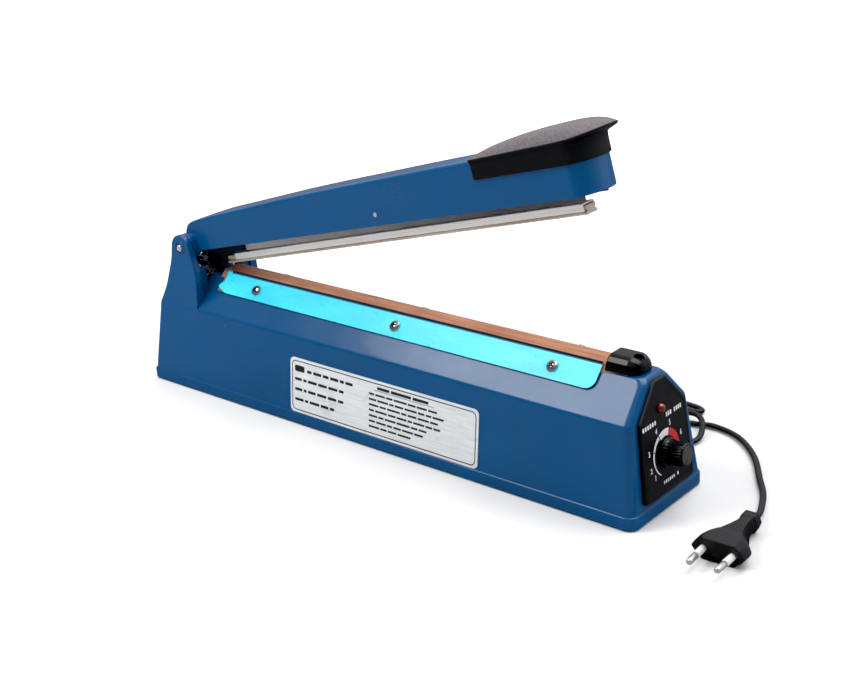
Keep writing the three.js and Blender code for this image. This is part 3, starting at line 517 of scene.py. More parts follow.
class Shader(Graph):
    """A Principled material, registered under its name."""
    def __init__(self, name):
        MATERIALS[name] = self.material = bpy.data.materials.new(name)
        self.material.use_nodes = True
        super().__init__(self.material.node_tree, "Object")
        self.bsdf = self.tree.nodes["Principled BSDF"]

    def set(self, **values):
        """Principled inputs, with underscores for spaces."""
        self.put(self.bsdf, {key.replace("_", " "): v for key, v in values.items()})

    def bump(self, *layers):
        """Chained bumps, each (height, depth in mm)."""
        normal = None
        for height, depth in layers:
            values = {"Strength": 1.0, "Distance": depth * 0.001, "Height": height}
            if normal is not None:
                values["Normal"] = normal
            normal = self.add("Bump", values)
        self.set(Normal=normal)


def plastic(name, rgb, rough, peel=0.006, drift=0.12, coat=0.0, grain=None, wear=0.25,
            spec=0.5, smudge=0.08, wave=0.0):
    """Moulded plastic: colour drift, orange peel, rubbed edges and fine dust.

    grain is (scale, depth); peel, grain depth and wave are bump depths in mm.
    """
    n = Shader(name)
    base = srgb(*rgb)
    slow = n.noise(14, detail=2)
    fine = n.noise(900, detail=2)
    colour = n.vary(slow, base, drift)
    dust = n.ramp(n.noise(2600, detail=1, rough=0.4), 0.69, 0.76)
    colour = n.mix(n.calc("MULTIPLY", dust, 0.07), colour,
                   tuple(0.35 + 0.5 * c for c in base))
    edge = n.ramp(n.add("NewGeometry", {}, "Pointiness"), 0.53, 0.62)
    edge = n.calc("MULTIPLY", edge, n.spread(n.noise(160), 0.0, wear, start=0.42, end=0.66))
    n.set(Base_Color=n.mix(edge, colour, tuple(min(1, c * 1.8 + 0.05) for c in base)))
    blotches = n.spread(n.noise(34, detail=4, rough=0.6), rough - smudge * 0.5, rough + smudge)
    n.set(Roughness=n.calc("ADD", blotches, n.calc("MULTIPLY", edge, 0.2)),
          Specular_IOR_Level=spec, Coat_Weight=coat, Coat_Roughness=0.06)
    layers = []
    if wave:
        layers.append((n.noise(9, detail=2, rough=0.5), wave))
    if grain:
        scale, depth = grain
        layers.append((n.voronoi(scale), depth))
        layers.append((n.noise(scale * 1.7), depth * 0.7))
    n.bump(*layers, (fine, peel))


def metal(name, colour, rough=0.25, brushed=None, drift=0.08, spots=0.15, metallic=1.0):
    """Metal with dark spots; brushed is the coordinate stretch of the brush lines."""
    n = Shader(name)
    lines = n.noise(700 if brushed else 260, detail=4, rough=0.65,
                    co=n.stretched(*brushed) if brushed else None)
    tone = n.vary(lines, colour, drift)
    spot = n.ramp(n.noise(420, detail=4, rough=0.7), 0.60, 0.72)
    tone = n.mix(n.calc("MULTIPLY", spot, spots), tone, scale_colour(colour, 0.45))
    n.set(Base_Color=tone, Metallic=metallic,
          Roughness=n.calc("ADD", n.spread(lines, rough * 0.8, rough * 1.25),
                           n.calc("MULTIPLY", spot, 0.15)))
    n.bump((lines, 0.004 if brushed else 0.002), (n.noise(60, detail=2), 0.02))


def rail_steel():
    """Bare steel brushed along its length, with a painted reflection: light towards the hinge,
    dark towards the nose.
    """
    n = Shader("rail_steel")
    lines = n.noise(700, detail=4, rough=0.65, co=n.stretched(0.04, 1, 1))
    # painted reflection: light steel at the hinge end blends into dark steel towards the nose
    light = n.blend(lines, (0.44, 0.415, 0.405), (0.60, 0.57, 0.555))
    dark = n.blend(lines, (0.10, 0.098, 0.105), (0.16, 0.157, 0.165))
    towards_nose = n.spread(n.part(n.co, 0), 0, 1, start=-0.12, end=0.10)
    n.set(Base_Color=n.mix(towards_nose, light, dark), Metallic=0.35,
          Roughness=n.spread(lines, 0.4, 0.6))
    n.bump((lines, 0.004), (n.noise(60, detail=2), 0.02))


def grip_black():
    """Grain for the top of the grip, pale with a painted sheen of the light above."""
    n = Shader("grip_black")
    cells = n.voronoi(1150)
    fine = n.noise(1900, detail=2)
    dark = n.blend(n.noise(40), srgb(19, 19, 20), srgb(29, 28, 29))
    # painted sheen: the top is drawn pale grey where the light above reflects off the rough
    # black
    painted_sheen = n.mix(n.spread(n.noise(700, rough=0.7), 0, 1, start=0.35, end=0.65),
                 srgb(97, 92, 96), srgb(127, 121, 125))
    specks = n.ramp(n.noise(620, rough=0.75), 0.25, 0.32, first=1.0, last=0.0)
    painted_sheen = n.mix(n.calc("MULTIPLY", specks, 0.4), painted_sheen, srgb(60, 56, 60))
    n.set(Base_Color=n.mix(0.92, dark, painted_sheen), Roughness=n.spread(fine, 0.55, 0.75),
          Specular_IOR_Level=0.4)
    n.bump((cells, 0.03), (fine, 0.03))


def ptfe_cloth():
    """Brown coated cloth with a fine weave and streaks along it."""
    n = Shader("ptfe_glass_cloth")
    threads = [n.wave(1250, distortion=0.4, axis=axis) for axis in "XY"]
    weave = n.calc("MULTIPLY", *threads)
    streak = n.noise(300, detail=4, rough=0.6, co=n.stretched(0.05, 1, 1))
    colour = n.blend(streak, srgb(146, 94, 64), srgb(196, 140, 108))
    colour = n.mix(n.calc("MULTIPLY", weave, 0.28), colour, srgb(104, 62, 42))
    colour = n.mix(n.ramp(n.noise(26), 0.5, 0.75, last=0.5), colour, srgb(120, 74, 52))
    n.set(Base_Color=colour, Roughness=n.spread(n.noise(80), 0.38, 0.55),
          Specular_IOR_Level=0.3)
    n.bump((weave, 0.02), (streak, 0.015), (n.noise(120, detail=2), 0.1))


def film():
    """Cyan protective film, crumpled, with painted shade where it folds over the ridge and a
    faint painted glow.
    """
    n = Shader("film")
    along = n.stretched(0.35, 1, 1)
    colour = n.mix(n.spread(n.noise(30, rough=0.5, co=along), 0, 1, start=0.35),
                   srgb(20, 190, 228), srgb(62, 222, 248))
    colour = n.mix(n.ramp(n.noise(210, rough=0.7), 0.64, 0.72, last=0.8), colour,
                   srgb(20, 150, 190))
    # distance down the roof slope from the ridge, in mm
    out = n.calc("SUBTRACT", n.calc("ABSOLUTE", n.part(n.co, 1), 0.0), RIDGE_Y * 0.001)
    rise = n.calc("SUBTRACT", n.part(n.co, 2), RIDGE_Z * 0.001)
    down = n.calc("ADD", n.calc("MULTIPLY", out, SLOPE[0] * 1000),
                  n.calc("MULTIPLY", rise, SLOPE[1] * 1000))
    # painted shade on the film's edge that folds over the ridge, darkest at the top
    painted_fold_shade = n.ramp(n.spread(down, 0, 1, start=-4.6, end=-2.0), 0.30, 0.62, first=1.0, last=0.0)
    colour = n.mix(n.calc("MULTIPLY", painted_fold_shade, 0.85), colour, srgb(0, 70, 105))
    # a faint cyan emission paints a glow on the film, which is no lamp
    n.set(Base_Color=colour,
          Roughness=n.spread(n.noise(160, detail=4, rough=0.7, co=along), 0.22, 0.4),
          Coat_Weight=0.15, Coat_Roughness=0.15, Specular_IOR_Level=0.4,
          Emission_Color=srgb(60, 225, 255), Emission_Strength=0.12)
    dimples = n.ramp(n.voronoi(95), 0.0, 0.12)
    n.bump((n.noise(36, rough=0.5, co=along), 0.5), (n.noise(160, rough=0.6), 0.09),
           (dimples, 0.1))


def silicone():
    n = Shader("silicone")
    stain = n.noise(60, rough=0.6, co=n.stretched(0.15, 1, 1))
    n.set(Base_Color=n.blend(stain, srgb(168, 150, 134), srgb(206, 192, 178)),
          Roughness=n.spread(n.noise(300, detail=2), 0.5, 0.68),
          Subsurface_Weight=0.12, Subsurface_Scale=0.002, Subsurface_Radius=[1.0, 0.7, 0.5])
    n.bump((n.noise(420), 0.02),
           (n.noise(90, detail=2, rough=0.5, co=n.stretched(0.1, 1, 1)), 0.06))


def red_lens():
    n = Shader("red_lens")
    cells = n.spread(n.voronoi(700), 0, 1, start=0, end=0.6)
    n.set(Base_Color=n.mix(cells, srgb(70, 3, 6), srgb(120, 8, 12)),
          Coat_Weight=0.8, Coat_Roughness=0.04, Specular_IOR_Level=0.8,
          Subsurface_Weight=0.1, Subsurface_Scale=0.002,
          Roughness=n.spread(n.noise(240), 0.08, 0.2))
    n.bump((n.voronoi(520), 0.05))


def label_plate():
    n = Shader("label_plate")
    lines = n.noise(800, rough=0.6, co=n.stretched(0.06, 1, 1))
    colour = n.blend(lines, srgb(214, 220, 224), srgb(236, 239, 241))
    colour = n.mix(n.ramp(n.noise(45, detail=4, rough=0.7), 0.6, 0.78, last=0.5), colour,
                   srgb(170, 172, 178))
    n.set(Base_Color=colour, Metallic=0.12, Roughness=n.spread(n.noise(70), 0.28, 0.46))
    n.bump((lines, 0.004), (n.noise(30, detail=2), 0.05))


def ink(name, rgb):
    n = Shader(name)
    patchy = n.spread(n.noise(900, rough=0.7), 0, 1, start=0.35, end=0.65)
    colour = srgb(*rgb)
    n.set(Base_Color=n.mix(patchy, scale_colour(colour, 0.86), scale_colour(colour, 1.08)),
          Roughness=n.spread(n.noise(200, detail=2), 0.4, 0.55))
    n.bump((n.noise(1500, detail=2), 0.006))


# ---------------------------------------------------------------- materials
plastic("blue_moulding", (4, 76, 125), rough=0.2, peel=0.004, drift=0.07, coat=0.2,
        wear=0.0, spec=0.45, wave=0.35)
plastic("black_plastic", (17, 17, 18), rough=0.5, drift=0.14, grain=(1500, 0.012),
        wear=0.12, spec=0.35)
plastic("gloss_black", (8, 7, 8), rough=0.17, drift=0.1, coat=0.08, wear=0.04,
        spec=0.34, smudge=0.05)
plastic("cord_pvc", (15, 15, 17), rough=0.42, grain=(900, 0.01), wear=0.12, spec=0.4)
plastic("light_plastic", (226, 226, 224), rough=0.4, drift=0.04, wear=0.02)
plastic("phenolic", (92, 58, 36), rough=0.55, drift=0.25, grain=(700, 0.01), wear=0.1)
plastic("bottom_sheet", (34, 35, 38), rough=0.4, drift=0.15, grain=(600, 0.02), wear=0.4)
plastic("circuit_board", (28, 92, 48), rough=0.35, drift=0.2, wear=0.05)
metal("plated_steel", (0.86, 0.85, 0.83), rough=0.18, spots=0.1, metallic=0.75)
metal("spring_steel", (0.42, 0.43, 0.45), rough=0.3, spots=0.25)
metal("sheet_steel", (0.42, 0.42, 0.44), rough=0.33, brushed=(0.05, 1, 1))
rail_steel()
metal("aluminium_profile", (0.98, 0.925, 0.895), rough=0.42, brushed=(0.03, 1, 1),
      drift=0.04, spots=0.05, metallic=0.12)
metal("screw_steel", (0.62, 0.61, 0.61), rough=0.12, spots=0.25)
# near-black metal as painted shade: inside the screws' cross recesses and on the terminal cap
# screw down in its hole
metal("screw_recess_shade", (0.06, 0.06, 0.065), rough=0.45, spots=0.2)
metal("brass", (0.66, 0.47, 0.2))
metal("copper_winding", (0.55, 0.24, 0.1), rough=0.3, brushed=(1, 0.04, 1))
metal("silicon_steel", (0.12, 0.12, 0.13), rough=0.5, brushed=(1, 1, 0.03))
grip_black()
plastic("grip_side", (15, 15, 16), rough=0.5, grain=(1600, 0.02), wear=0.1, spec=0.4)
ptfe_cloth()
film()
silicone()
red_lens()
label_plate()
# painted shade for the film's folded upper edge, in two steps of darkness
plastic("film_fold_shade", (6, 104, 142), rough=0.35, drift=0.2, wear=0.0, spec=0.4)
plastic("film_shade", (6, 30, 44), rough=0.4, drift=0.2, wear=0.0, spec=0.3)
ink("print_white", (226, 226, 228))
ink("print_red", (205, 30, 34))
ink("print_dark", (34, 32, 36))
plastic("panel_face", (20, 20, 21), rough=0.45, grain=(1900, 0.008), wear=0.1, spec=0.35)
plastic("knob_face", (62, 62, 65), rough=0.38, grain=(1200, 0.01), wear=0.2)


# ---------------------------------------------------------------- base housing
def half_profile(foot):
    """(half width, z) up one side of the base, with rounded eaves and ridge."""
    bottom = (foot + (foot - EAVES_Y) / WALL_RISE * 40, SKIRT_TOP - 40)
    return rounded([bottom, (EAVES_Y, EAVES_Z), (RIDGE_Y, RIDGE_Z), (-30, RIDGE_Z)],
                   [0, 5.0, 2.6, 0], 7)


def half_width(foot):
    profile = half_profile(foot)

    def at_height(z):
        z = min(z, RIDGE_Z - 1e-4)
        for (y0, z0), (y1, z1) in zip(profile, profile[1:]):
            if z0 <= z <= z1 and z1 > z0:
                return y0 + (y1 - y0) * (z - z0) / (z1 - z0)
        return profile[-2][0]
    return at_height


front_y, rear_y = half_width(FOOT_FRONT), half_width(FOOT_REAR)
END_ROUND = 4.6     # rounding of the +X end into the flat top
rings = []
# skirt: inset, z, reduction of the corner radii
for inset, z, less in [(0.75, 0.8, 0.7), (0.25, 0.95, 0.25), (0.06, 1.2, 0), (0, 1.6, 0),
                       (0, 7.7, 0), (0.06, 8.2, 0), (0.25, 8.55, 0), (0.55, 8.72, 0.3)]:
    radii = [3.5 - less, 7 - less, 5 - less, 3.5 - less]
    rings.append(ring_at("z", rrect(SKIRT_X0 + inset, SKIRT_X1 - inset, SKIRT_Y0 + inset,
                                    SKIRT_Y1 - inset, radii), z))
rings.append(ring_at("z", rrect(left_x(8.8) - 0.12, end_x(8.8) + 0.12, -FOOT_FRONT - 0.12,
                                FOOT_REAR + 0.12, [3, 6.5, 4.5, 3]), 8.86))
levels = [9.3, 14, 24, 36, 48, 56, 64.5, 68, 73, 77, 79.2, 80.4, 81.2, 81.9]
levels += [round(z, 3) for _, z in half_profile(FOOT_FRONT) if 50 < z < RIDGE_Z - 0.02]
levels += [RIDGE_Z - 0.5, RIDGE_Z - 0.22, RIDGE_Z - 0.06]
for z in sorted(set(levels)):
    rise = (z - SKIRT_TOP) / (RIDGE_Z - SKIRT_TOP)
    above = max(0.0, z - (RIDGE_Z - END_ROUND))
    inset = END_ROUND - sqrt(END_ROUND ** 2 - above * above) if above else 0.0
    radii = [3 - 0.6 * rise, 6.5 - 1.9 * rise, 4.5 - 0.5 * rise, 3 - 0.6 * rise]
    rings.append(ring_at("z", rrect(left_x(z), end_x(z) - inset, -front_y(z), rear_y(z),
                                    radii), z))
base = raw("base_shell", loft(rings))
# the roof is cut away at the hinge end
cut(base, prism("y", [(-162.7, EAVES_Z), (-166.0, RIDGE_Z), (-167.1, 91), (-240, 91),
                      (-240, EAVES_Z)], -60, 60))

# hinge ears, as (x, z)
EAR_IN = 23.3
EAR = [(-163, 57), (-161.3, 62), (-160.9, 70), (-160.8, 76), (-160.9, 84), (-161.4, 90),
       *arc(PIN, 25, 176, 30, 9.3),
       (-186.4, 97.0), (-187.6, 92.5), (-190.0, 86.0), (-192.2, 80.0), (-194.6, 74),
       (-198.2, 67.5), (-201.6, 61.7), (-201.2, 57)]


def ear_out(z):
    """Half width over the ears."""
    if z > EAVES_Z:
        return 31.2 - (z - EAVES_Z) * 3.5 / 54.5
    return 31.2 + (EAVES_Z - z) * 0.06


for side, _ in SIDES:
    fuse(base, loft([[world(x, side * EAR_IN, z) for x, z in EAR],
                     [world(x, side * ear_out(z), z) for x, z in EAR]]),
         bevel=0.9, segments=3)
# wall between the ears at the -X end
fuse(base, prism("y", [(-201.4, 58), (-199, 58), (-199, 61.8), (-192.1, 74), (-187.6, 85.5),
                       (-185.7, 91.2), (-188.0, 91.2), (-190.1, 85.5), (-194.6, 74),
                       (-201.4, 61.8)], -24.3, 24.3), bevel=0.5)
# low block in the middle of the hinge pocket
fuse(base, prism("z", rrect(-189.8, -165.9, -5.6, 5.6, 0.8, 3), 59.5, 66.2))
for side, _ in SIDES:   # thicker inner walls under the arm bosses
    fuse(base, prism("y", [(-193.5, 59.5), (-162.0, 59.5), (-162.2, 62), (-162.6, 75),
                           (-163.4, 91.0), (-188.2, 91.0), (-194.6, 73)],
                     side * 16.8, side * 24.3), bevel=0.5)

# hollow inside: wall part, then roof part
WALL = 2.5


def hollow(rows):
    """Loft of rows (x0, x1, y0, y1, radii, z)."""
    return loft([ring_at("z", rrect(*row[:5], 4), row[5]) for row in rows])


skirt_in = (SKIRT_X0 + WALL, SKIRT_X1 - WALL, SKIRT_Y0 + WALL, SKIRT_Y1 - WALL,
            [1.5, 5, 3, 1.5])
cut(base, hollow([
    (*skirt_in, -1),
    (*skirt_in, 5.5),
    (left_x(SKIRT_TOP) + WALL, END_X - WALL, -FOOT_FRONT + WALL, FOOT_REAR - WALL,
     [1, 4.5, 2.5, 1], 6),
    (left_x(59) + WALL, end_x(59) - WALL, -front_y(59) + WALL, rear_y(59) - WALL,
     [1, 4, 2, 1], 59)]), hollow([
    (-159, end_x(58) - WALL, -28.6, 28.6, [0.5, 3.5, 3.5, 0.5], 58),
    (-159, end_x(61.5) - WALL, -27.4, 27.4, [0.5, 3.5, 3.5, 0.5], 61.5),
    (-162.2, end_x(81) - WALL - 1.5, -9.5, 9.5, [0.5, 2, 2, 0.5], 80.9)]))

holes = [rod("y", 3.6, side * 20, side * 36, centre=PIN) for side, _ in SIDES]
holes += [rod("y", 4.3, 30, 44, centre=CORD),
          rod("z", 4.4, -6, 6, panel_at, KNOB),
          rod("z", 3.3, -6, 6, panel_at, LAMP),
          rod("z", 1.75, 76, 86, centre=(190.7, 0), sides=20)]
for side, _ in SIDES:
    holes += [rod("z", 1.6, -8, 3, facet(side), (x, SCREW_Y), 16) for x in SCREW_X]
holes += [prism("z", box(x0, x1, -3.2, 3.2), 79, 86)     # openings at the ends of the top
          for x0, x1 in ((-159.5, -153.5), (176.5, 184.5))]
cut(base, merge(holes))
finish(base, "blue_moulding", "base_housing", bevel=0.42, angle=42)

for side, where in SIDES:   # raised ring round each pin bore
    add("pin_bore_ring_" + where,
        lathe("y", [(3.65, -0.3), (5.3, -0.3), (5.3, 0.1), (5.0, 0.42), (3.9, 0.42),
                    (3.65, 0.1), (3.65, -0.3)], 48,
              lambda x, y, z: world(x, side * (ear_out(z) + y), z), PIN), "blue_moulding")


# ---------------------------------------------------------------- sealing ledge cloth
def ripple(x, y, z, scale):
    return noise.noise(Vector((x * scale, y * scale, z * scale)))


def cloth_side(side):
    """(y, z) from low on a facet up to the ledge."""
    points = (facet(side)(0, slope, 0.33) for slope in (8.2, 4.5, 1.0, -1.8, -3.6))
    return [(p.y, p.z) for p in points]


# section of the cloth from front to rear, as (y, z)
CLOTH = [*cloth_side(-1),
         (-8.0, 86.06), (-7.3, 86.6), (-6.5, 86.77), (-3, 86.80), (0, 86.82),
         (3, 86.80), (6.5, 86.77), (7.3, 86.6), (8.0, 86.06),
         *cloth_side(1)[::-1]]


def cloth(u, v):
    place = v * (len(CLOTH) - 1)
    k = min(len(CLOTH) - 2, int(place))
    start, end = Vector(CLOTH[k]), Vector(CLOTH[k + 1])
    point = start.lerp(end, place - k)
    ahead = (end - start).normalized()
    out = Vector((-ahead.y, ahead.x))
    # between the clamped edges a loose flap reaches further towards the hinge
    off_middle = abs(v - 0.5) * 2
    x0, x1 = -146.5, 169.5
    if off_middle < 0.80:
        x0, x1 = -154.5 + 1.2 * sin(v * 9), 173.4
    x = x0 + (x1 - x0) * u
    lift = 0.0
    if x < -147:
        lift = 0.5 * (-147 - x) / 7 * max(0.0, off_middle - 0.5) / 0.5
    wave = 0.10 * ripple(x, point[0], 0, 0.06) + 0.05 * ripple(x, point[0], 5, 0.25)
    wave *= 0.35 if abs(point[0]) < 7.6 else 1.0
    lift += wave * 0.7
    return (world(x, point[0] + out[0] * lift, point[1] + out[1] * lift),
            world(0, out[0], out[1]).normalized())


add("ptfe_cloth_sheet", sheet(cloth, 260, 46, 0.27), "ptfe_glass_cloth", "ptfe_cloth",
    weighted=False, crease=50)

for side, where in SIDES:   # cloth edge that shows below the terminal cap
    def cloth_edge(u, v):
        x = 171.5 + 17.5 * u
        y = -0.9 + (1.6 - 0.9 * u) * v + 0.08 * sin(u * 7)
        return (facet(side)(x, y, 0.30 + 0.05 * ripple(x, y, 2, 0.4)),
                world(0, side * SLOPE_OUT[0], SLOPE_OUT[1]))
    add("ptfe_cloth_edge_" + where, sheet(cloth_edge, 30, 6, 0.22), "ptfe_glass_cloth",
        weighted=False, crease=50)

# ---------------------------------------------------------------- clamp plates, film, screws
PLATE_X1 = 171.2
PLATE_Y1, FILM_Y1 = 13.1, 13.25         # lower edges, down the slope
# pan-head screw from the crown down, as (radius, height)
SCREW = [(0, 3.75), (0.8, 3.73), (1.7, 3.62), (2.6, 3.34), (3.3, 2.92), (3.75, 2.4),
         (3.92, 1.9), (3.92, 1.62), (3.76, 1.5), (1.5, 1.5), (1.45, 1.2), (1.4, -7),
         (1.0, -9.2), (0, -9.8)]
CROSS = [(-2.3, 4.4), (2.3, 4.4), (1.9, 3.0), (0.6, 2.0), (-0.6, 2.0), (-1.9, 3.0)]


def right_edge(y, x1, radius, y1):
    """Right edge with a rounded lower corner."""
    past = y - (y1 - radius)
    if past <= 0:
        return x1
    return x1 - (radius - sqrt(max(0.0, radius * radius - past * past)))


def follow_edge(x, y):
    """Stretch y so that the lower edge runs slightly downhill along the plate."""
    return y * ((12.75 + 0.75 * (x + 150) / 320) / PLATE_Y1) if y > 0 else y


def lip(y):
    """Outward flare above the ridge."""
    return 0.0 if y > -2.9 else 0.55 * ((-2.9 - y) / 1.5) ** 1.3


for side, where in SIDES:
    facet_at = facet(side)
    facet_out = world(0, side * SLOPE_OUT[0], SLOPE_OUT[1])
    top_y = -4.4 if side < 0 else 0.4

    def clamp_plate(u, v):
        y = top_y + (PLATE_Y1 - top_y) * v
        x0 = -149.2 + (0.5 if y < 6 else -0.9 * min(1, (y - 6) / 3))
        x = x0 + (right_edge(y, PLATE_X1, 6.0, PLATE_Y1) - x0) * u
        return facet_at(x, follow_edge(x, y), 1.34 + lip(y)), facet_out

    add("clamp_plate_sheet_" + where, sheet(clamp_plate, 90, 36, 0.98), "sheet_steel",
        "clamp_plate_" + where, bevel=0.12, segments=1, angle=60)

    def film_surface(u, v):
        y = top_y - 0.05 + (13.3 - top_y) * v
        # torn left edge
        x0 = -147.6 + 0.10 * (y + 4.4)
        if 4.2 < y <= 8.6:
            x0 = -146.7 - 3.9 * ((y - 4.2) / 4.4) ** 0.8
        if y > 8.6:
            x0 = -150.6 + 9.5 * ((y - 8.6) / 4.6) ** 1.4
        x0 += 0.25 * ripple(y, 0, 3, 1.1)
        x = x0 + (right_edge(y, PLATE_X1 + 0.2, 6.2, FILM_Y1) - x0) * u
        down = follow_edge(x, y)
        height = (1.52 + lip(y) + 0.10 * (0.5 + ripple(x * 0.4, down, side, 0.16))
                  + 0.07 * abs(ripple(x, down, 7, 0.33)))
        for screw_x in SCREW_X:     # the screw heads pull the film down
            reach = hypot(x - screw_x, down - SCREW_Y)
            if reach < 12:
                height -= 0.10 * exp(-(reach / 5.0) ** 2) * 1.5
        height = max(1.45 + lip(y), height)
        inside = min(1.0, abs(y - FILM_Y1), abs(y - top_y + 0.05))
        return facet_at(x, down, height + 0.06 * (1 - inside)), facet_out

    sheet_obj = add("protective_film_sheet_" + where, sheet(film_surface, 420, 44, 0.09),
                    "film", "protective_film_" + where, weighted=False, crease=60)
    # painted shade: faces of the folded upper edge take two darker materials
    if side < 0:    # the upper edge is folded over and lies in its own shade
        sheet_obj.data.materials.append(MATERIALS["film_fold_shade"])
        sheet_obj.data.materials.append(MATERIALS["film_shade"])
        origin = facet_at(0, 0, 1.5)
        down_slope = facet_at(0, 1, 1.5) - origin
        for face in sheet_obj.data.polygons:
            centre = face.center * 1000
            y = (centre - origin).dot(down_slope) / down_slope.length_squared
            if centre.x > -143:
                face.material_index = 2 if y < -3.4 else 1 if y < -2.5 else 0

    for k, screw_x in enumerate(SCREW_X):
        turn = 0.5 + k * 0.7 + (0.4 if side > 0 else 0)

        def recess_at(x, y, z):
            return facet_at(screw_x + (x * cos(turn) - y * sin(turn)),
                            SCREW_Y + (x * sin(turn) + y * cos(turn)), z)

        screw = raw(f"pan_screw_{where}_{k + 1}",
                    lathe("z", SCREW[::-1], 48, facet_at, (screw_x, SCREW_Y)))
        cut(screw, *[prism(axis, CROSS, -0.55, 0.55, recess_at) for axis in "yx"])
        finish(screw, "screw_steel", f"clamp_screw_{where}_{k + 1}", slot="plated_steel",
               bevel=0.06, segments=1, angle=50, crease=40)
        screw.data.materials.append(MATERIALS["screw_recess_shade"])
        origin = facet_at(screw_x, SCREW_Y, 0)
        axis_out = facet_at(screw_x, SCREW_Y, 1) - origin
        # painted shade: the faces inside the cross are drawn near-black
        for face in screw.data.polygons:    # dark faces inside the cross
            offset = face.center * 1000 - origin
            height = offset.dot(axis_out)
            radius = (offset - axis_out * height).length
            if radius < 2.35 and 1.9 < height < 3.52 - 0.075 * radius * radius:
                face.material_index = 1

# ---------------------------------------------------------------- terminal cap
CAP_FOOT, CAP_TOP = 84.05, 92.75
cap_outline = rounded(
    [(-11.35, CAP_FOOT), (11.35, CAP_FOOT), (11.1, 86.4), (9.7, 89.3), (7.6, 91.6),
     (4.9, CAP_TOP), (-4.9, CAP_TOP), (-7.6, 91.6), (-9.7, 89.3), (-11.1, 86.4)],
    [0.05, 0.05, 1.1, 1.5, 1.4, 2.2, 2.2, 1.4, 1.5, 1.1], 5)
# x, width factor, top height
stations = [(173.75, 0.93, 92.0), (173.85, 0.97, 92.4), (174.15, 0.99, 92.65),
            (174.7, 1.0, CAP_TOP), (180, 1, CAP_TOP), (186.6, 1, CAP_TOP)]
for k in range(1, 15):
    angle = k / 14 * radians(86)
    stations.append((186.6 + 8.6 * sin(angle), 1 - (1 - cos(angle)) * 0.80,
                     CAP_TOP - 6.0 * (1 - cos(angle)) ** 0.9))
rings = []
for x, width, top in stations:
    # the end towards the hinge leans over
    rings.append([world(x - (0.35 * (1 - (z - 84) / 9) if x < 175 else 0), y * width,
                        CAP_FOOT + (z - CAP_FOOT) * (top - CAP_FOOT) / 8.7)
                  for y, z in cap_outline])
cap = raw("terminal_cap_moulding", loft(rings))
cut(cap, prism("z", rrect(175.6, 185.4, -5.2, 5.2, 1, 3), 80, 89.4),
    prism("x", box(-2.3, 2.3, 83, 87.3), 172, 176.5),
    rod("z", 1.8, 80, 96, centre=(CAP_SCREW_X, 0)),
    lathe("z", [(0, 87.9), (2.75, 87.9), (2.85, 90.6), (3.5, 93.2), (4.2, 95.5), (0, 95.5)],
          40, centre=(CAP_SCREW_X, 0)))
finish(cap, "gloss_black", "terminal_cap", bevel=0.18, angle=50)

# ---------------------------------------------------------------- control panel
PRINT_Z = 3.09
panel_outline = rounded([(-26.5, 3.3), (26.5, 3.3), (24.2, 53.0), (5.0, 73.6),
                         (-5.0, 73.6), (-24.2, 53.0)], [3, 3, 3.4, 2.6, 2.6, 3.4], 8)


def inset_outline(outline, distance):
    out = []
    for i in range(len(outline)):
        before, here, after = (Vector(outline[k]) for k in (i - 1, i, (i + 1) % len(outline)))
        arriving, leaving = (here - before).normalized(), (after - here).normalized()
        normal = Vector((-arriving.y, arriving.x))
        mean = (normal + Vector((-leaving.y, leaving.x))).normalized()
        move = distance / max(0.35, mean.dot(normal))
        out.append((here.x + mean.x * move, here.y + mean.y * move))
    return out


# rim, then the groove round the face: inset, height
PANEL = [(0.15, 0.03), (0, 0.15), (0, 1.9), (0.12, 2.35), (0.45, 2.75), (0.95, 3.0),
         (1.5, 3.06), (2.35, 3.06), (2.45, 2.92), (2.75, 2.92), (2.85, 3.1)]
panel = raw("control_panel_moulding",
            loft([ring_at("z", inset_outline(panel_outline, inset), height, panel_at)
                  for inset, height in PANEL]))
cut(panel, merge([rod("z", 4.2, -2, 6, panel_at, KNOB), rod("z", 3.1, -2, 6, panel_at, LAMP)]))
finish(panel, "panel_face", "control_panel", slot="black_plastic", crease=40)

# dial scale
DIAL_R = 14.2


def band(start, end, width0, width1, steps=24, radius=DIAL_R):
    """Printed arc between two angles, its width growing inwards."""
    outline = arc(KNOB, start, end, steps, radius)
    outline += arc(KNOB, start, end, steps, radius - width0, radius - width1)[::-1]
    return prism("z", outline, PRINT_Z, 3.2, panel_at)


add("dial_band_white", merge([band(236, 205, 0.7, 0.9), band(202.5, 163, 0.95, 1.35),
                              band(160.5, 121, 1.4, 2.2), band(117.5, 72.5, 4.1, 4.3)]),
    "print_white", "dial_scale_white", weighted=False, crease=30)
add("dial_band_red", merge([band(70.5, 20.5, 4.3, 4.1),
                            band(18, 3, 4.0, 2.2, 12, DIAL_R - 0.1)]),
    "print_red", "dial_scale_red", weighted=False, crease=30)


def numeral(text, angle, radius, size=4.6, thick=0.12, squeeze=0.8):
    """Printed numeral, placed round the knob by angle and radius."""
    font = bpy.data.curves.new("numeral", "FONT")
    font.body = text
    font.size = size
    font.extrude = thick / 2
    font.align_x = font.align_y = "CENTER"
    font.resolution_u = 6
    font.offset = 0.02 * size
    obj = link(bpy.data.objects.new("numeral", font))
    bpy.context.view_layer.update()
    graph = bpy.context.evaluated_depsgraph_get()
    mesh = bpy.data.meshes.new_from_object(obj.evaluated_get(graph), depsgraph=graph)
    x = KNOB[0] + radius * cos(radians(angle))
    y = KNOB[1] + radius * sin(radians(angle))
    verts = [panel_at(x + v.co.x * squeeze, y + v.co.y, PRINT_Z + v.co.z + thick / 2)
             for v in mesh.vertices]
    faces = [tuple(face.vertices) for face in mesh.polygons]
    bpy.data.objects.remove(obj)
    bpy.data.curves.remove(font)
    bpy.data.meshes.remove(mesh)
    return verts, faces


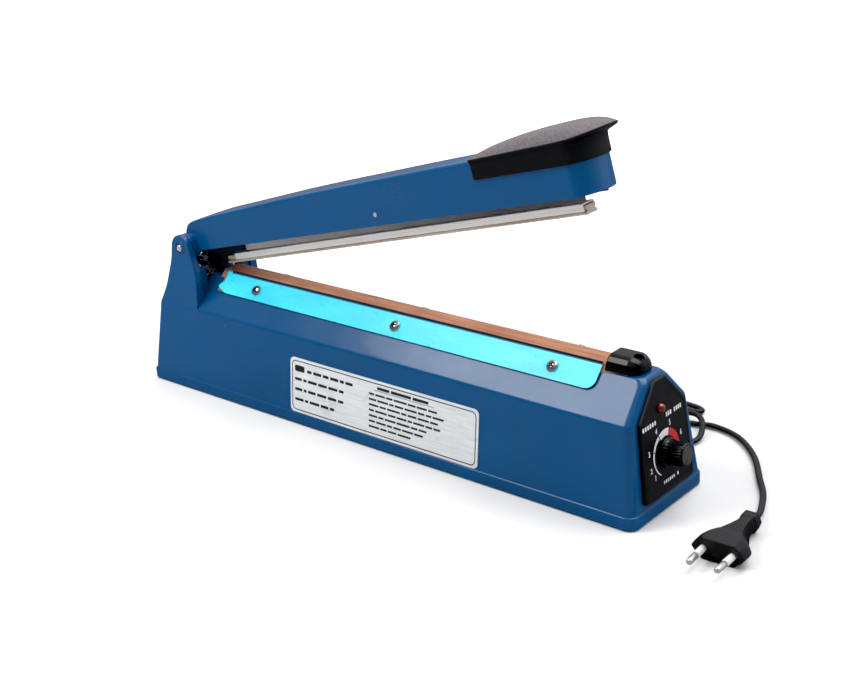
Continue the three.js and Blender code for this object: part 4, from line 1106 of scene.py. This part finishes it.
# numeral, angle, radius
DIGITS = [("1", 219, 17.6), ("2", 198, 18.0), ("3", 164, 18.6), ("4", 119, 18.0),
          ("5", 70, 17.3), ("6", 20, 17.8)]
add("dial_numerals", merge([numeral(*row) for row in DIGITS]), "print_white",
    weighted=False, crease=30)


def bars(cells, z0, z1, frame):
    """Rounded marks from cells (x, y, width, height)."""
    return merge([prism("z", rrect(x - w / 2, x + w / 2, y - h / 2, y + h / 2,
                                   min(w, h) * 0.22, 2), z0, z1, frame)
                  for x, y, w, h in cells])


# blank marks in place of lettering: x, y, pitch, width, height, slots in use
MARKS = [(-15.4, 49.6, 2.5, 1.5, 2.6, (-3, -2, -1, 0, 1, 2)),
         (8.6, 50.4, 2.15, 1.35, 2.7, (-3, -2, -1, 1, 2, 3, 4)),
         (2.0, 11.0, 2.1, 1.3, 2.0, (-4, -3, -2, -1, 0, 1, 3))]
add("panel_marks", bars([(x + k * pitch, y, w, h) for x, y, pitch, w, h, slots in MARKS
                         for k in slots], PRINT_Z, 3.17, panel_at),
    "print_white", weighted=False, crease=30)
add("indicator_lens",
    lathe("z", [(0, -7.6), (2.5, -7.6), (2.6, -7.2), (2.6, 2.8), (2.95, 3.1), (3.0, 3.4),
                (3.0, 3.9), (2.85, 4.4), (2.5, 5.2), (1.95, 5.9), (1.2, 6.35), (0.5, 6.52),
                (0, 6.55)], 56, panel_at, LAMP),
    "red_lens", "indicator_lamp", weighted=False, crease=40)

# ---------------------------------------------------------------- timer knob
# height, radius, flute depth
KNOB_RINGS = [
    (3.5, 8.6, 0), (3.6, 8.95, 0), (3.8, 9.1, 0), (4.5, 9.1, 0), (4.8, 9.0, 0),
    (5.05, 8.75, 0), (5.2, 8.45, 0), (5.8, 8.15, 0.06), (6.8, 7.85, 0.18), (8.2, 7.6, 0.22),
    (10, 7.4, 0.24), (12.5, 7.25, 0.24), (15.6, 7.1, 0.24), (16.3, 6.98, 0.16),
    (16.75, 6.8, 0.1), (17.05, 6.5, 0), (17.15, 6.2, 0), (17.15, 5.95, 0), (17.02, 5.8, 0)]
KNOB_SIDES, FLUTES = 288, 24
rings = []
for height, radius, flute in KNOB_RINGS:
    ring = []
    for i in range(KNOB_SIDES):
        angle = 2 * pi * i / KNOB_SIDES
        reach = radius - flute * (0.5 + 0.5 * cos(FLUTES * angle)) ** 2
        ring.append(panel_at(KNOB[0] + reach * cos(angle), KNOB[1] + reach * sin(angle),
                             height))
    rings.append(ring)
knob = raw("timer_knob_body", loft(rings))
cut(knob, rod("z", 3.05, 2.0, 9.6, panel_at, KNOB))
finish(knob, "gloss_black", "timer_knob", body="knob", crease=50)

POINTER = radians(236)


def pointer_at(x, y, z):
    """Knob face, with x along the pointer."""
    return panel_at(KNOB[0] + x * cos(POINTER) - y * sin(POINTER),
                    KNOB[1] + x * sin(POINTER) + y * cos(POINTER), z)


disc = raw("timer_knob_disc",
           lathe("z", [(0, 16.6), (5.7, 16.6), (5.75, 17.0), (5.55, 17.22), (4.0, 17.28),
                       (0, 17.32)], 80, panel_at, KNOB))
cut(disc, prism("z", rrect(2.0, 6.6, -0.42, 0.42, 0.4, 4), 16.9, 18.2, pointer_at))
finish(disc, "knob_face", body="knob", slot="gloss_black", bevel=0.06, segments=1,
       angle=60, crease=45)
add("timer_knob_pointer",
    prism("z", rrect(2.15, 5.5, -0.3, 0.3, 0.28, 4), 16.75, 16.97, pointer_at),
    "print_dark", body="knob", slot="gloss_black", weighted=False, crease=30)

# ---------------------------------------------------------------- instruction plate
LABEL_HALF_X, LABEL_HALF_Y = 81.5, 19.4
INK_Z0, INK_Z1 = 0.49, 0.55


def label_outline(inset, radius):
    return rrect(-LABEL_HALF_X + inset, LABEL_HALF_X - inset,
                 -LABEL_HALF_Y + inset, LABEL_HALF_Y - inset, radius, 8)


# inset, height
LABEL_EDGE = [(0.05, 0.04), (0, 0.1), (0, 0.38), (0.1, 0.47), (0.25, 0.5)]
add("instruction_plate_sheet",
    loft([ring_at("z", label_outline(inset, 3.5 - inset), height, label_at)
          for inset, height in LABEL_EDGE]), "label_plate", "instruction_plate", crease=40)


def border():
    """Printed line round the plate."""
    outer, inner = label_outline(1.7, 3.8), label_outline(2.35, 3.8 - (2.35 - 1.7))
    n = len(outer)
    verts = [p for z in (INK_Z0, INK_Z1) for p in ring_at("z", outer + inner, z, label_at)]
    faces = []
    for i in range(n):
        j = (i + 1) % n
        for a, b in ((0, 1), (2, 3), (0, 2), (1, 3)):
            faces.append((a * n + i, a * n + j, b * n + j, b * n + i))
    return verts, faces


def words(x, y, widths, height):
    """Blank words in a line that starts at x."""
    cells = []
    for width in widths:
        cells.append((x + width / 2, y, width, height))
        x += width + height * 0.75
    return cells


# headings and left column: x, y, word widths, height
LINES = [(-77.0, 12.2, (9.0,), 4.4), (-65.5, 11.6, (4.2, 7.6, 5.2, 7.4, 3.6, 6.4), 2.0),
         (-77, 4.6, (6.4, 3.0, 8.2, 8.0, 8.4, 4.2), 1.9),
         (-77, -2.6, (6.8, 2.6, 7.2, 8.6, 7.8, 5.0), 1.9),
         (-77, -9.8, (8.0, 3.0, 9.0, 7.0, 4.0), 1.9), (-2.0, 14.4, (10.5, 17.0, 13.0), 1.9)]
# word widths of the right column, before scaling
PARAGRAPH = [(5, 9, 6, 12, 7, 9, 8), (7, 10, 4, 8, 11, 6, 5, 10), (9, 6, 12, 5, 8, 10, 7),
             (5, 11, 7, 9, 4, 10, 6, 6), (8, 5, 10, 12, 6, 7), (6, 9, 5, 7, 10, 8),
             (10, 6, 8, 12)]
cells = [cell for line in LINES for cell in words(*line)]
for k, widths in enumerate(PARAGRAPH):
    cells += words(-9.0, 9.6 - k * 3.72, [w * 0.92 for w in widths], 1.35)
cells.append((21, 12.6, 50, 0.28))      # rule under the right heading
add("instruction_plate_print", merge([border(), bars(cells, INK_Z0, INK_Z1, label_at)]),
    "print_dark", slot="label_plate", weighted=False, crease=30)

# ---------------------------------------------------------------- mains cord
# path from inside the rear wall, through a loose coil on the floor, to the plug
CORD_PATH = [
    (150, 31, 24), (150, 38, 24), (150, 47, 23.5), (147, 57, 18), (138, 66, 11),
    (122, 79, 8), (106, 92, 7.8), (95, 106, 6.5), (98, 121, 3.0), (116, 128, 2.3),
    (138, 129, 2.3), (154, 128, 2.3), (160.5, 124.4, 2.3), (154, 120.6, 2.3),
    (132, 120.5, 2.3), (110, 115, 2.3), (101, 105, 2.3), (109, 96, 2.3), (128, 99, 2.3),
    (146, 108, 3.4), (160, 111.5, 5.6), (170.5, 105.5, 6.6), (177.5, 95, 4.6),
    (180, 84, 2.6), (174, 73, 2.3), (158, 65.5, 2.3), (141, 67, 2.3), (133, 77, 2.3),
    (139, 90, 2.3), (152, 99.5, 2.3), (168, 105, 2.3), (180, 108, 2.3), (200.3, 101.6, 2.3),
    (221, 83, 2.3), (238.5, 57.6, 2.3), (248.8, 42, 2.4), (257, 24, 3.2), (261.2, 12, 5.6),
    (262.0, 5.2, 6.9)]
# oval section with a shallow waist
cord_section = [(1.92 * x, 1.6 * y * (1 - 0.10 * exp(-(x / 0.28) ** 2)))
                for x, y in circle(1, 28)]
add("mains_cord", tube(CORD_PATH, cord_section, 12), "cord_pvc", "mains_cable",
    weighted=False, crease=60)

# grommet with six ribs round the cord: y, radius
grommet = [(32.6, 4.1), (37.35, 4.15), (37.4, 5.6), (37.7, 6.0), (38.9, 6.0), (39.2, 5.7),
           (39.3, 4.7)]
for k in range(6):
    grommet += [(39.6 + k, 4.6 - k * 0.17), (40.1 + k, 4.6 - k * 0.17),
                (40.25 + k, 3.9 - k * 0.13), (40.45 + k, 3.9 - k * 0.13)]
grommet += [(45.7, 3.3), (45.9, 2.9), (45.8, 2.45), (32.6, 2.45)]
add("cord_grommet", loft([ring_at("y", circle(radius, 48, CORD), y) for y, radius in grommet],
                         loop=True),
    "black_plastic", "strain_relief", weighted=False, crease=40)


# ---------------------------------------------------------------- plug
def plug_ring(x, w, h):
    """Flattened section of half width w and half height h."""
    outline = [(-w, 0), (-w * 0.80, -h * 0.62), (-w * 0.60, -h), (w * 0.60, -h),
               (w * 0.80, -h * 0.62), (w, 0), (w * 0.80, h * 0.62), (w * 0.60, h),
               (-w * 0.60, h), (-w * 0.80, h * 0.62)]
    return ring_at("x", rounded(outline, [0.5, 0.7, 0.5, 0.5, 0.7] * 1
                                + [0.5, 0.7, 0.5, 0.5, 0.7], 3), x, plug_at)


# x, half width, half height
plug_rows = [(0, 4.9, 4.3), (0.15, 5.4, 4.9), (0.6, 5.9, 5.35), (1.3, 6.1, 5.6),
             (5.6, 6.1, 5.6), (6.2, 5.95, 5.45), (6.5, 5.6, 5.2), (6.9, 5.3, 4.9)]
for k in range(10):     # ribbed neck
    x = 8.0 + 2.0 * k
    w, h = 5.3 + max(0, x - 12) ** 1.25 * 0.20, 4.9 + (x - 7) * 0.06
    plug_rows += [(x, w, h), (x + 0.15, w - 0.55, h - 0.25), (x + 0.85, w - 0.5, h - 0.25),
                  (x + 1.0, w + 0.1, h)]
plug_rows += [(27.6, 11.3, 6.35), (30, 13.0, 6.6), (32.6, 15.0, 6.8), (35, 16.3, 6.9),
              (38, 16.7, 6.95), (41.5, 16.4, 6.9), (42.8, 16.0, 6.75), (43.3, 15.6, 6.5),
              (43.5, 15.0, 6.1)]
plug = raw("plug_moulding", loft([plug_ring(*row) for row in plug_rows]))
cut(plug, merge([rod("x", 2.55, 37.6, 46, plug_at, (side * 8.9, 0)) for side in (-1, 1)]
                + [rod("x", 2.3, -1.5, 1.6, plug_at, sides=28)]),
    merge([prism("z", rrect(2.4, 3.4, y, y + 2.0, 0.3, 2), 5.2, 6.5, plug_at)
           for y in (-2.9, 0.3)]))      # two small recesses on the collar
finish(plug, "cord_pvc", "plug_body", bevel=0.22, angle=48)

for side, where in ((-1, "left"), (1, "right")):
    def pin_at(x, y, z):
        """Plug pin: z along the pin, leaning towards the other one."""
        lean = -side * 0.03
        return plug_at(38.4 + z * cos(lean), side * 8.95 + x + z * sin(lean), y)

    add("plug_pin_sleeve_" + where,
        lathe("z", [(0, 0.2), (2.05, 0.2), (2.1, 0.6), (2.1, 12.6), (2.0, 13.0),
                    (1.6, 13.2), (0, 13.2)], 40, pin_at),
        "light_plastic", "plug_pin_" + where, slot="plated_steel", weighted=False, crease=45)
    add("plug_pin_tip_" + where,
        lathe("z", [(0, 13.22), (1.85, 13.22), (1.95, 13.4), (1.95, 20.9), (1.85, 21.6),
                    (1.5, 22.2), (0.9, 22.55), (0, 22.65)], 40, pin_at),
        "plated_steel", weighted=False, crease=45)

# ---------------------------------------------------------------- arm shell
# height of the top along the arm: x, z
ARM_TOP = [(9, 16.35), (16, 17.1), (31, 17.8), (61, 19.1), (99, 20.8), (133, 21.9),
           (166, 22.6), (195, 23.2), (230, 23.9), (275, 24.4), (357.5, 24.6)]
# rounded rear end: x, half width, bottom, top
ARM_REAR = [(-2.42, 16.6, -1.2, 1.0), (-2.34, 17.4, -3.2, 3.0), (-2.2, 17.9, -4.8, 4.8),
            (-1.95, 18.25, -5.5, 6.6), (-1.6, 18.45, -5.6, 8.3), (-1.05, 18.5, -5.6, 10.0),
            (-0.2, 18.5, -5.6, 11.8), (0.9, 18.5, -5.6, 13.3), (2.3, 18.5, -5.6, 14.5),
            (4.2, 18.5, -5.6, 15.35), (6.4, 18.5, -5.6, 15.95)]
ARM_X = [9, 12, 16, 22, 31, 45, 61, 80, 99, 116, 133, 150, 166, 180, 195, 212, 230, 252, 275,
         300, 322, 336]


def arm_ring(x, half, low, high, radius=2.3):
    """Section with rounded top corners and a slight crown."""
    tall = high - low
    r = max(0.05, min(radius, half * 0.9, tall * 0.45))
    turns = [(r * sin(i / 7 * pi / 2), r * cos(i / 7 * pi / 2)) for i in range(8)]
    outline = [(-half, low), (-half, low + tall * 0.25), (-half + 0.05, low + tall * 0.55)]
    outline += [(-half + 0.15 + r - c, high - r + s) for s, c in turns]
    outline += [(-half * 0.45, high + 0.12), (0, high + 0.16), (half * 0.45, high + 0.12)]
    outline += [(half - 0.15 - r + s, high - r + c) for s, c in turns]
    outline += [(half - 0.05, low + tall * 0.55), (half, low + tall * 0.25), (half, low)]
    return ring_at("x", outline, x, arm_at)


rings = [arm_ring(*row) for row in ARM_REAR]
rings += [arm_ring(x, ARM_HALF, ARM_BOTTOM, curve(ARM_TOP, x)) for x in ARM_X]
for k in range(17):
    angle = k / 16 * radians(81.5)
    rings.append(arm_ring(NOSE_X + NOSE_R * sin(angle), ARM_HALF * cos(angle), ARM_BOTTOM,
                          24.5, 2.0))
arm = raw("arm_moulding", loft(rings))
# hinge boss
fuse(arm, lathe("y", [(0, -22.95), (8.3, -22.95), (8.75, -22.75), (9.0, -22.3), (9.0, 22.3),
                      (8.75, 22.75), (8.3, 22.95), (0, 22.95)], 64, arm_at))
half_in = ARM_HALF - ARM_WALL
rings = []
for x in [13, 14, 16, 31, 61, 99, 133, 166, 195, 230, 275, 322]:
    roof = curve(ARM_TOP, x) - ARM_WALL
    if x < 14:
        roof = min(14.4, roof)
    rings.append(ring_at("x", rounded(box(-half_in, half_in, -30, roof), [0, 0, 1.2, 1.2], 3),
                         x, arm_at))
for k in range(13):
    angle = k / 12 * radians(86)
    half = half_in * cos(angle)
    corner = min(1.2, half * 0.4)
    rings.append(ring_at("x", rounded(box(-half, half, -30, 22.3), [0, 0, corner, corner], 3),
                         NOSE_X + (NOSE_R - ARM_WALL) * sin(angle), arm_at))
cut(arm, loft(rings),
    # opening between the two halves of the boss
    prism("y", [(-12, -12), (14, -12), (14, 7), (4, 12), (0.6, 9.4), (0.4, 2), (-12, 2)],
          -14.3, 14.3, arm_at))
for x in (80, 150, 232, 305):   # cross ribs
    fuse(arm, prism("y", box(x - 1, x + 1, -0.4, 19), -17.4, 17.4, arm_at))
cut(arm, merge([rod("y", 2.8, -30, 30, arm_at),
                rod("y", 1.75, -30, 30, arm_at, FLOAT_PIN, 24)]))
finish(arm, "blue_moulding", "arm_shell", body="arm", bevel=0.45, angle=42)

# ---------------------------------------------------------------- grip cap
# height of the rim and of the crown along the arm: x, z
CAP_RIM = [(270, 25.5), (278, 25.6), (298, 26.0), (318, 26.5), (338, 27.0), (351, 27.7),
           (360, 28.8), (368, 30.3), (372, 31.0)]
CAP_CROWN = [(270, 25.8), (278, 27.0), (283, 28.6), (290, 30.3), (300, 31.9), (315, 33.3),
             (330, 34.1), (342, 34.5), (351, 34.5), (358, 34.1), (364, 33.4), (368, 32.7),
             (372, 32.0)]
# flare up to the rim: growth at the sides, growth at the nose, start, drop below the rim
CAP_FLARE = [(1.42, 1.9, 0, 3.5), (1.55, 3.0, 0, 3.1), (1.75, 5.0, 0, 2.65),
             (2.0, 7.6, 0, 2.2), (2.3, 9.8, 0, 1.75), (2.5, 10.8, 0, 1.35),
             (2.62, 11.3, 0, 0.95), (2.65, 11.45, 0, 0.6), (2.55, 11.3, 0.05, 0.25),
             (2.35, 10.9, 0.25, 0.0)]
# top surface: share of the way in from the rim, share of the rise to the crown
CAP_DOME = [(0.015, 0.14), (0.04, 0.30), (0.08, 0.48), (0.13, 0.63), (0.2, 0.76),
            (0.3, 0.87), (0.42, 0.94), (0.56, 0.98), (0.72, 1.0), (0.86, 1.0)]


def cap_ring(side_grow, nose_grow, x0, height, nose_x=NOSE_X):
    """Ring round the arm from x0; height(x) gives z. Square at the rear."""
    half = ARM_HALF + side_grow
    outline = [(x0 + (nose_x - x0) * k / 16, -half) for k in range(16)]
    for k in range(45):
        angle = (-90 + 180 * k / 44) * pi / 180
        outline.append((nose_x + (NOSE_R + nose_grow) * cos(angle), half * sin(angle)))
    outline += [(nose_x - (nose_x - x0) * (k + 1) / 16, half) for k in range(16)]
    return [arm_at(x, y, height(x)) for x, y in outline]


rings = [cap_ring(1.15, 1.15, CAP_X + 0.3, lambda x: CAP_BOTTOM),
         cap_ring(1.4, 1.4, CAP_X, lambda x: CAP_BOTTOM + 0.3),
         cap_ring(1.4, 1.4, CAP_X, lambda x: 17.5),
         cap_ring(1.4, 1.4, CAP_X, lambda x: min(21.6, curve(CAP_RIM, x) - 4.0))]
for side_grow, nose_grow, start, drop in CAP_FLARE:
    rings.append(cap_ring(side_grow, nose_grow, CAP_X + start,
                          lambda x: curve(CAP_RIM, x) - drop))
side_grow, nose_grow, start, _ = CAP_FLARE[-1]
for share, rise in CAP_DOME:
    rings.append(cap_ring(
        side_grow - (ARM_HALF + side_grow) * share, nose_grow - (NOSE_R + nose_grow) * share,
        CAP_X + start + 14 * share,
        lambda x: curve(CAP_RIM, x) + rise * (curve(CAP_CROWN, x) - curve(CAP_RIM, x)),
        NOSE_X - 16 * share))
grip = raw("grip_cap_moulding", loft(rings))

SOCKET_HALF = 18.85     # the socket takes the arm with a small gap
rings = [ring_at("x", box(-SOCKET_HALF, SOCKET_HALF, -10, curve(ARM_TOP, x) + 0.3), x, arm_at)
         for x in (240, 275, 300, 322, 343.9)]
for k in range(13):
    angle = k / 12 * radians(87)
    half = SOCKET_HALF * cos(angle)
    rings.append(ring_at("x", box(-half, half, -10, 24.85), NOSE_X + 12.9 * sin(angle),
                         arm_at))
cut(grip, loft(rings))
finish(grip, "grip_side", "grip_cap", body="arm", slot="grip_black", bevel=0.2, angle=55)
grip.data.materials.append(MATERIALS["grip_black"])
# painted sheen: the top faces take the pale grained material, the sides keep the black
for face in grip.data.polygons:     # the top takes the grained material
    centre = face.center * 1000
    dx, dz = centre.x - PIN[0], centre.z - PIN[1]
    x = dx * cos(ARM_OPEN) + dz * sin(ARM_OPEN)
    z = -dx * sin(ARM_OPEN) + dz * cos(ARM_OPEN)
    if z > curve(CAP_RIM, x) - 0.02 and x > CAP_X + 0.2:
        face.material_index = 1

# ---------------------------------------------------------------- arm rail
RAIL_X0, RAIL_X1 = 52, 347.5


def rail_at(x, y, z):
    """Arm frame with the flanges growing deeper towards the hinge."""
    deeper = 2.0 * (RAIL_X1 - x) / (RAIL_X1 - RAIL_X0) if z < -8 else 0
    return arm_at(x, y, z - deeper)


rail = raw("arm_rail_channel", prism("x", rounded(
    [(-12, -8.7), (-12, -1), (12, -1), (12, -8.7), (10.9, -8.7), (10.9, -2.1),
     (-10.9, -2.1), (-10.9, -8.7)], [0.2, 1.2, 1.2, 0.2, 0.2, 0.6, 0.6, 0.2], 4),
    RAIL_X0, RAIL_X1, rail_at))
cut(rail, prism("z", rrect(FLOAT_PIN[0] - 8.5, FLOAT_PIN[0] + 8.5, -7.5, 7.5, 2, 5),
                -4, 3, arm_at))
finish(rail, "rail_steel", "arm_rail", body="arm", slot="sheet_steel", bevel=0.12,
       segments=1, angle=50)

# ---------------------------------------------------------------- pressure bar, silicone strip
BAR_X0, BAR_X1 = -160.4, 149.4
BAR_TOP, BAR_LOW = -13.7, -18.3
ROOF, LEDGE = BAR_TOP - 1.0, BAR_LOW + 0.9      # inside of the channel, top of its lips
bar_outline = rounded(
    [(-6, BAR_LOW), (-6, -15.9), (-5.86, -15.75), (-5.86, -15.55), (-6, -15.4),
     (-6, BAR_TOP), (6, BAR_TOP), (6, -15.4), (5.86, -15.55), (5.86, -15.75), (6, -15.9),
     (6, BAR_LOW), (4.4, BAR_LOW), (4.4, LEDGE), (5.0, LEDGE), (5.0, ROOF), (-5.0, ROOF),
     (-5.0, LEDGE), (-4.4, LEDGE), (-4.4, BAR_LOW)],
    [0.25, 0.04, 0.04, 0.04, 0.04, 0.45, 0.45, 0.04, 0.04, 0.04, 0.04, 0.25,
     0.15, 0.1, 0.1, 0.3, 0.3, 0.1, 0.1, 0.15], 3)
add("pressure_bar_profile", prism("x", bar_outline, BAR_X0, BAR_X1, bar_at),
    "aluminium_profile", "pressure_bar", body="bar", bevel=0.08, segments=1, angle=50)

GAP, STRIP_LOW = 0.3, -20.5
NECK_TOP, NECK_LOW = LEDGE + GAP, BAR_LOW - GAP
strip_outline = rounded(
    [(-4.7, ROOF - GAP), (4.7, ROOF - GAP), (4.7, NECK_TOP), (4.1, NECK_TOP),
     (4.1, NECK_LOW), (5.6, NECK_LOW), (5.6, STRIP_LOW + 0.6), (5.0, STRIP_LOW),
     (-5.0, STRIP_LOW), (-5.6, STRIP_LOW + 0.6), (-5.6, NECK_LOW), (-4.1, NECK_LOW),
     (-4.1, NECK_TOP), (-4.7, NECK_TOP)],
    [0.5, 0.5, 0.2, 0.1, 0.1, 0.5, 0.6, 0.6, 0.6, 0.6, 0.5, 0.1, 0.1, 0.2], 4)


def strip_at(x, y, z):
    """Bar frame with a faint ripple below the bar and a sag at the hinge end."""
    if z < -18.4:
        past = max(0.0, (-150 - x) / 20)
        z = z + (0.02 + 0.03 * ripple(x, y, z, 0.05)) - 0.015 * past * past
    return bar_at(x, y, z)


add("silicone_strip_profile",
    prism("x", strip_outline, BAR_X0 - 9.7, BAR_X1 + 1.4, strip_at, 120),
    "silicone", "silicone_strip", body="bar", bevel=0.25, angle=60, crease=50)

# ---------------------------------------------------------------- actuator carrier, rail end
carrier = raw("actuator_carrier", prism("y", rounded(
    [(11.6, -4.9), (51.2, -4.9), (51.2, -1.2), (49.6, 2.6), (13.0, 2.6), (11.6, 0.8)],
    0.6, 3), -15.4, 15.4, arm_at))
cut(carrier, prism("y", box(14.5, 48.5, 0.6, 5), -13.6, 13.6, arm_at))
finish(carrier, "black_plastic", body="arm", bevel=0.3, angle=50)
add("rail_end_block", prism("x", rrect(-12.0, 12.0, -9.2, -5.0, 0.5, 3), 24.0, 51.7, arm_at),
    "black_plastic", body="arm", bevel=0.25, angle=50)

# ---------------------------------------------------------------- return springs
SPRING_X, SPRING_Y, SPRING_Z0, SPRING_Z1 = -169.9, 11.8, 61.75, 96.6
WIRE_R, COIL_R, TURNS = 0.75, 2.7, 7.0
steps = int(TURNS * 14)
for side, where in SIDES:
    path = []
    for i in range(steps + 1):
        turned = i / steps * TURNS
        # flat closing turns at both ends
        climb = min(1, max(0, (turned - 0.8) / (TURNS - 1.6)))
        path.append((SPRING_X + COIL_R * cos(turned * 2 * pi),
                     side * SPRING_Y + COIL_R * sin(turned * 2 * pi),
                     SPRING_Z0 + WIRE_R + (SPRING_Z1 - SPRING_Z0 - 2 * WIRE_R) * climb))
    spring = add("return_spring_coil_" + where, tube(path, circle(WIRE_R, 12), 3),
                 "spring_steel", "return_spring_" + where, weighted=False, crease=60)
    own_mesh(spring)

# ---------------------------------------------------------------- CAD pieces that stay
slots = {part["node"]: part["material_slot"] for part in product["record"]["subparts"]}
# the terminal cap screw is drawn dark as painted shade of the hole it sits in
OWN_MATERIAL = {"microswitch_plunger": "black_plastic", "terminal_cap_screw": "screw_recess_shade"}
# bevel widths; any other piece gets 0.1
EDGE_WIDTHS = {
    "bottom_plate": 0.25, "ledge_strip": 0.2, "hinge_pin": 0, "hinge_pin_clip": 0.12,
    "microswitch": 0.3, "microswitch_plunger": 0.25, "transformer_core": 0.3,
    "transformer_winding": 0.8, "timer_board": 0.15, "timer_relay": 0.5,
    "timer_capacitor": 0.5, "board_heatsink": 0.2, "switch_actuator": 0.45,
    "float_pin": 0.3, "bar_hanger": 0.2, "terminal_cap_screw": 0.12,
    "ribbon_terminal_left": 0.15, "ribbon_terminal_right": 0.15,
    "timer_potentiometer": 0.3, "potentiometer_shaft": 0.2, "heating_ribbon": 0.02}
for name, obj in product["nodes"].items():
    if obj.hide_render:
        continue
    material = MATERIALS.get(OWN_MATERIAL.get(name, slots[name]), MATERIALS["black_plastic"])
    obj.data.materials.clear()
    obj.data.materials.append(material)
    for face in obj.data.polygons:
        face.use_smooth = True
    width = EDGE_WIDTHS.get(name, 0.1)
    if width:
        add_bevel(obj, width, 2, 40, clamp=True)
    obj.modifiers.new("wn", "WEIGHTED_NORMAL")


# ---------------------------------------------------------------- floor (metres from here on)
def floor_material():
    """White floor: brightens away from the product, dark in reflections."""
    n = Shader("floor")
    camera_ray = n.add("LightPath", {}, "Is Camera Ray")
    x, y = n.part(n.co, 0), n.part(n.co, 1)
    square = n.calc("ADD", n.calc("MULTIPLY", x, x), n.calc("MULTIPLY", y, y))
    glow = n.spread(n.calc("SQRT", square, 0), 0.0, 0.7, start=0.3, end=0.9)
    white = n.blend(n.noise(3, detail=2), (0.86, 0.86, 0.865), (0.875, 0.872, 0.875))
    n.set(Roughness=0.7, Specular_IOR_Level=0.1, Emission_Color=(1.0, 0.995, 1.0),
          Emission_Strength=n.calc("MULTIPLY", camera_ray, glow),
          Base_Color=n.mix(camera_ray.node.outputs["Is Glossy Ray"], white,
                           (0.15, 0.155, 0.17)))
    return n.material


floor = raw("floor", ([(x, y, -0.02) for x, y in box(-6000, 6000, -6000, 6000)],
                      [(0, 1, 2, 3)]))
floor.data.materials.append(floor_material())

# ---------------------------------------------------------------- world
scene = bpy.context.scene
sky = bpy.data.worlds.new("w")
scene.world = sky
sky.use_nodes = True
graph = Graph(sky.node_tree, "Generated")
up = graph.part(graph.co, 2)
# grey by height
shade = graph.ramp(up, 0.0, 1.0)
stops = shade.node.color_ramp.elements
stops[0].color = (0.16, 0.17, 0.19, 1)
stops[1].color = (0.8, 0.8, 0.82, 1)
for position, grey in ((0.42, 0.16), (0.60, 0.2), (0.80, 0.42)):
    stops.new(position).color = (grey, grey, grey * 1.02, 1)
# brighter towards the rear; the camera itself sees white
brighter = graph.spread(up.node.outputs[1], 1.0, 3.6, start=0.1, end=0.6)
lit = graph.add("VectorMath", {0: shade, "Scale": brighter}, operation="SCALE")
seen = graph.mix(graph.add("LightPath", {}, "Is Camera Ray"), lit, (1, 1, 1))
graph.put(sky.node_tree.nodes["Background"], {0: seen, 1: 1.0})


# ---------------------------------------------------------------- lights
def area(name, location, target, size, power, colour=(1, 1, 1), glossy=True):
    light = bpy.data.lights.new(name, "AREA")
    light.shape = "RECTANGLE"
    light.size, light.size_y = size
    light.energy = power
    light.color = colour
    obj = link(bpy.data.objects.new(name, light))
    obj.location = location
    away = Vector(location) - Vector(target)
    obj.rotation_euler = away.to_track_quat("Z", "Y").to_euler()
    obj.visible_glossy = glossy


area("key", location=(-0.70, -0.62, 0.98), target=(0.02, -0.02, 0.07), size=(0.8, 0.7),
     power=8.5, colour=(1.0, 0.985, 0.97), glossy=False)
area("softbox", location=(-0.45, -0.56, 0.98), target=(0.17, -0.02, 0.08), size=(0.5, 0.5),
     power=4.5, colour=(1.0, 0.99, 0.98))
area("top", location=(0.45, 0.6, 1.7), target=(0, 0, 0.05), size=(1.5, 1.5), power=19.0)
area("side", location=(1.5, 0.15, 0.75), target=(0.15, 0, 0.05), size=(0.9, 0.9), power=4.0,
     glossy=False)

# ---------------------------------------------------------------- camera
AZIMUTH, ELEVATION, ROLL = radians(41.38), radians(22.06), radians(-3.55)
DISTANCE, SHIFT_RIGHT, SHIFT_UP = 930.52, 23.23, -6.27      # mm, from (0, 0, 60)
back = Vector((sin(AZIMUTH) * cos(ELEVATION), -cos(AZIMUTH) * cos(ELEVATION),
               sin(ELEVATION)))
right = Vector((cos(AZIMUTH), sin(AZIMUTH), 0))
up = back.cross(right)
camera = bpy.data.cameras.new("cam")
camera.sensor_width = 36
camera.lens = 58.7164186
camera.clip_start = 0.01
camera_obj = link(bpy.data.objects.new("cam", camera))
pose = Matrix((right * cos(ROLL) + up * sin(ROLL), -right * sin(ROLL) + up * cos(ROLL),
               back)).transposed().to_4x4()
pose.translation = (Vector((0, 0, 60)) + back * DISTANCE + right * SHIFT_RIGHT
                    + up * SHIFT_UP) / 1000
camera_obj.matrix_world = pose
scene.camera = camera_obj

view = scene.view_settings
view.view_transform = "Standard"
view.use_curve_mapping = True
view.curve_mapping.black_level = (0.007, 0.007, 0.007)
view.curve_mapping.update()
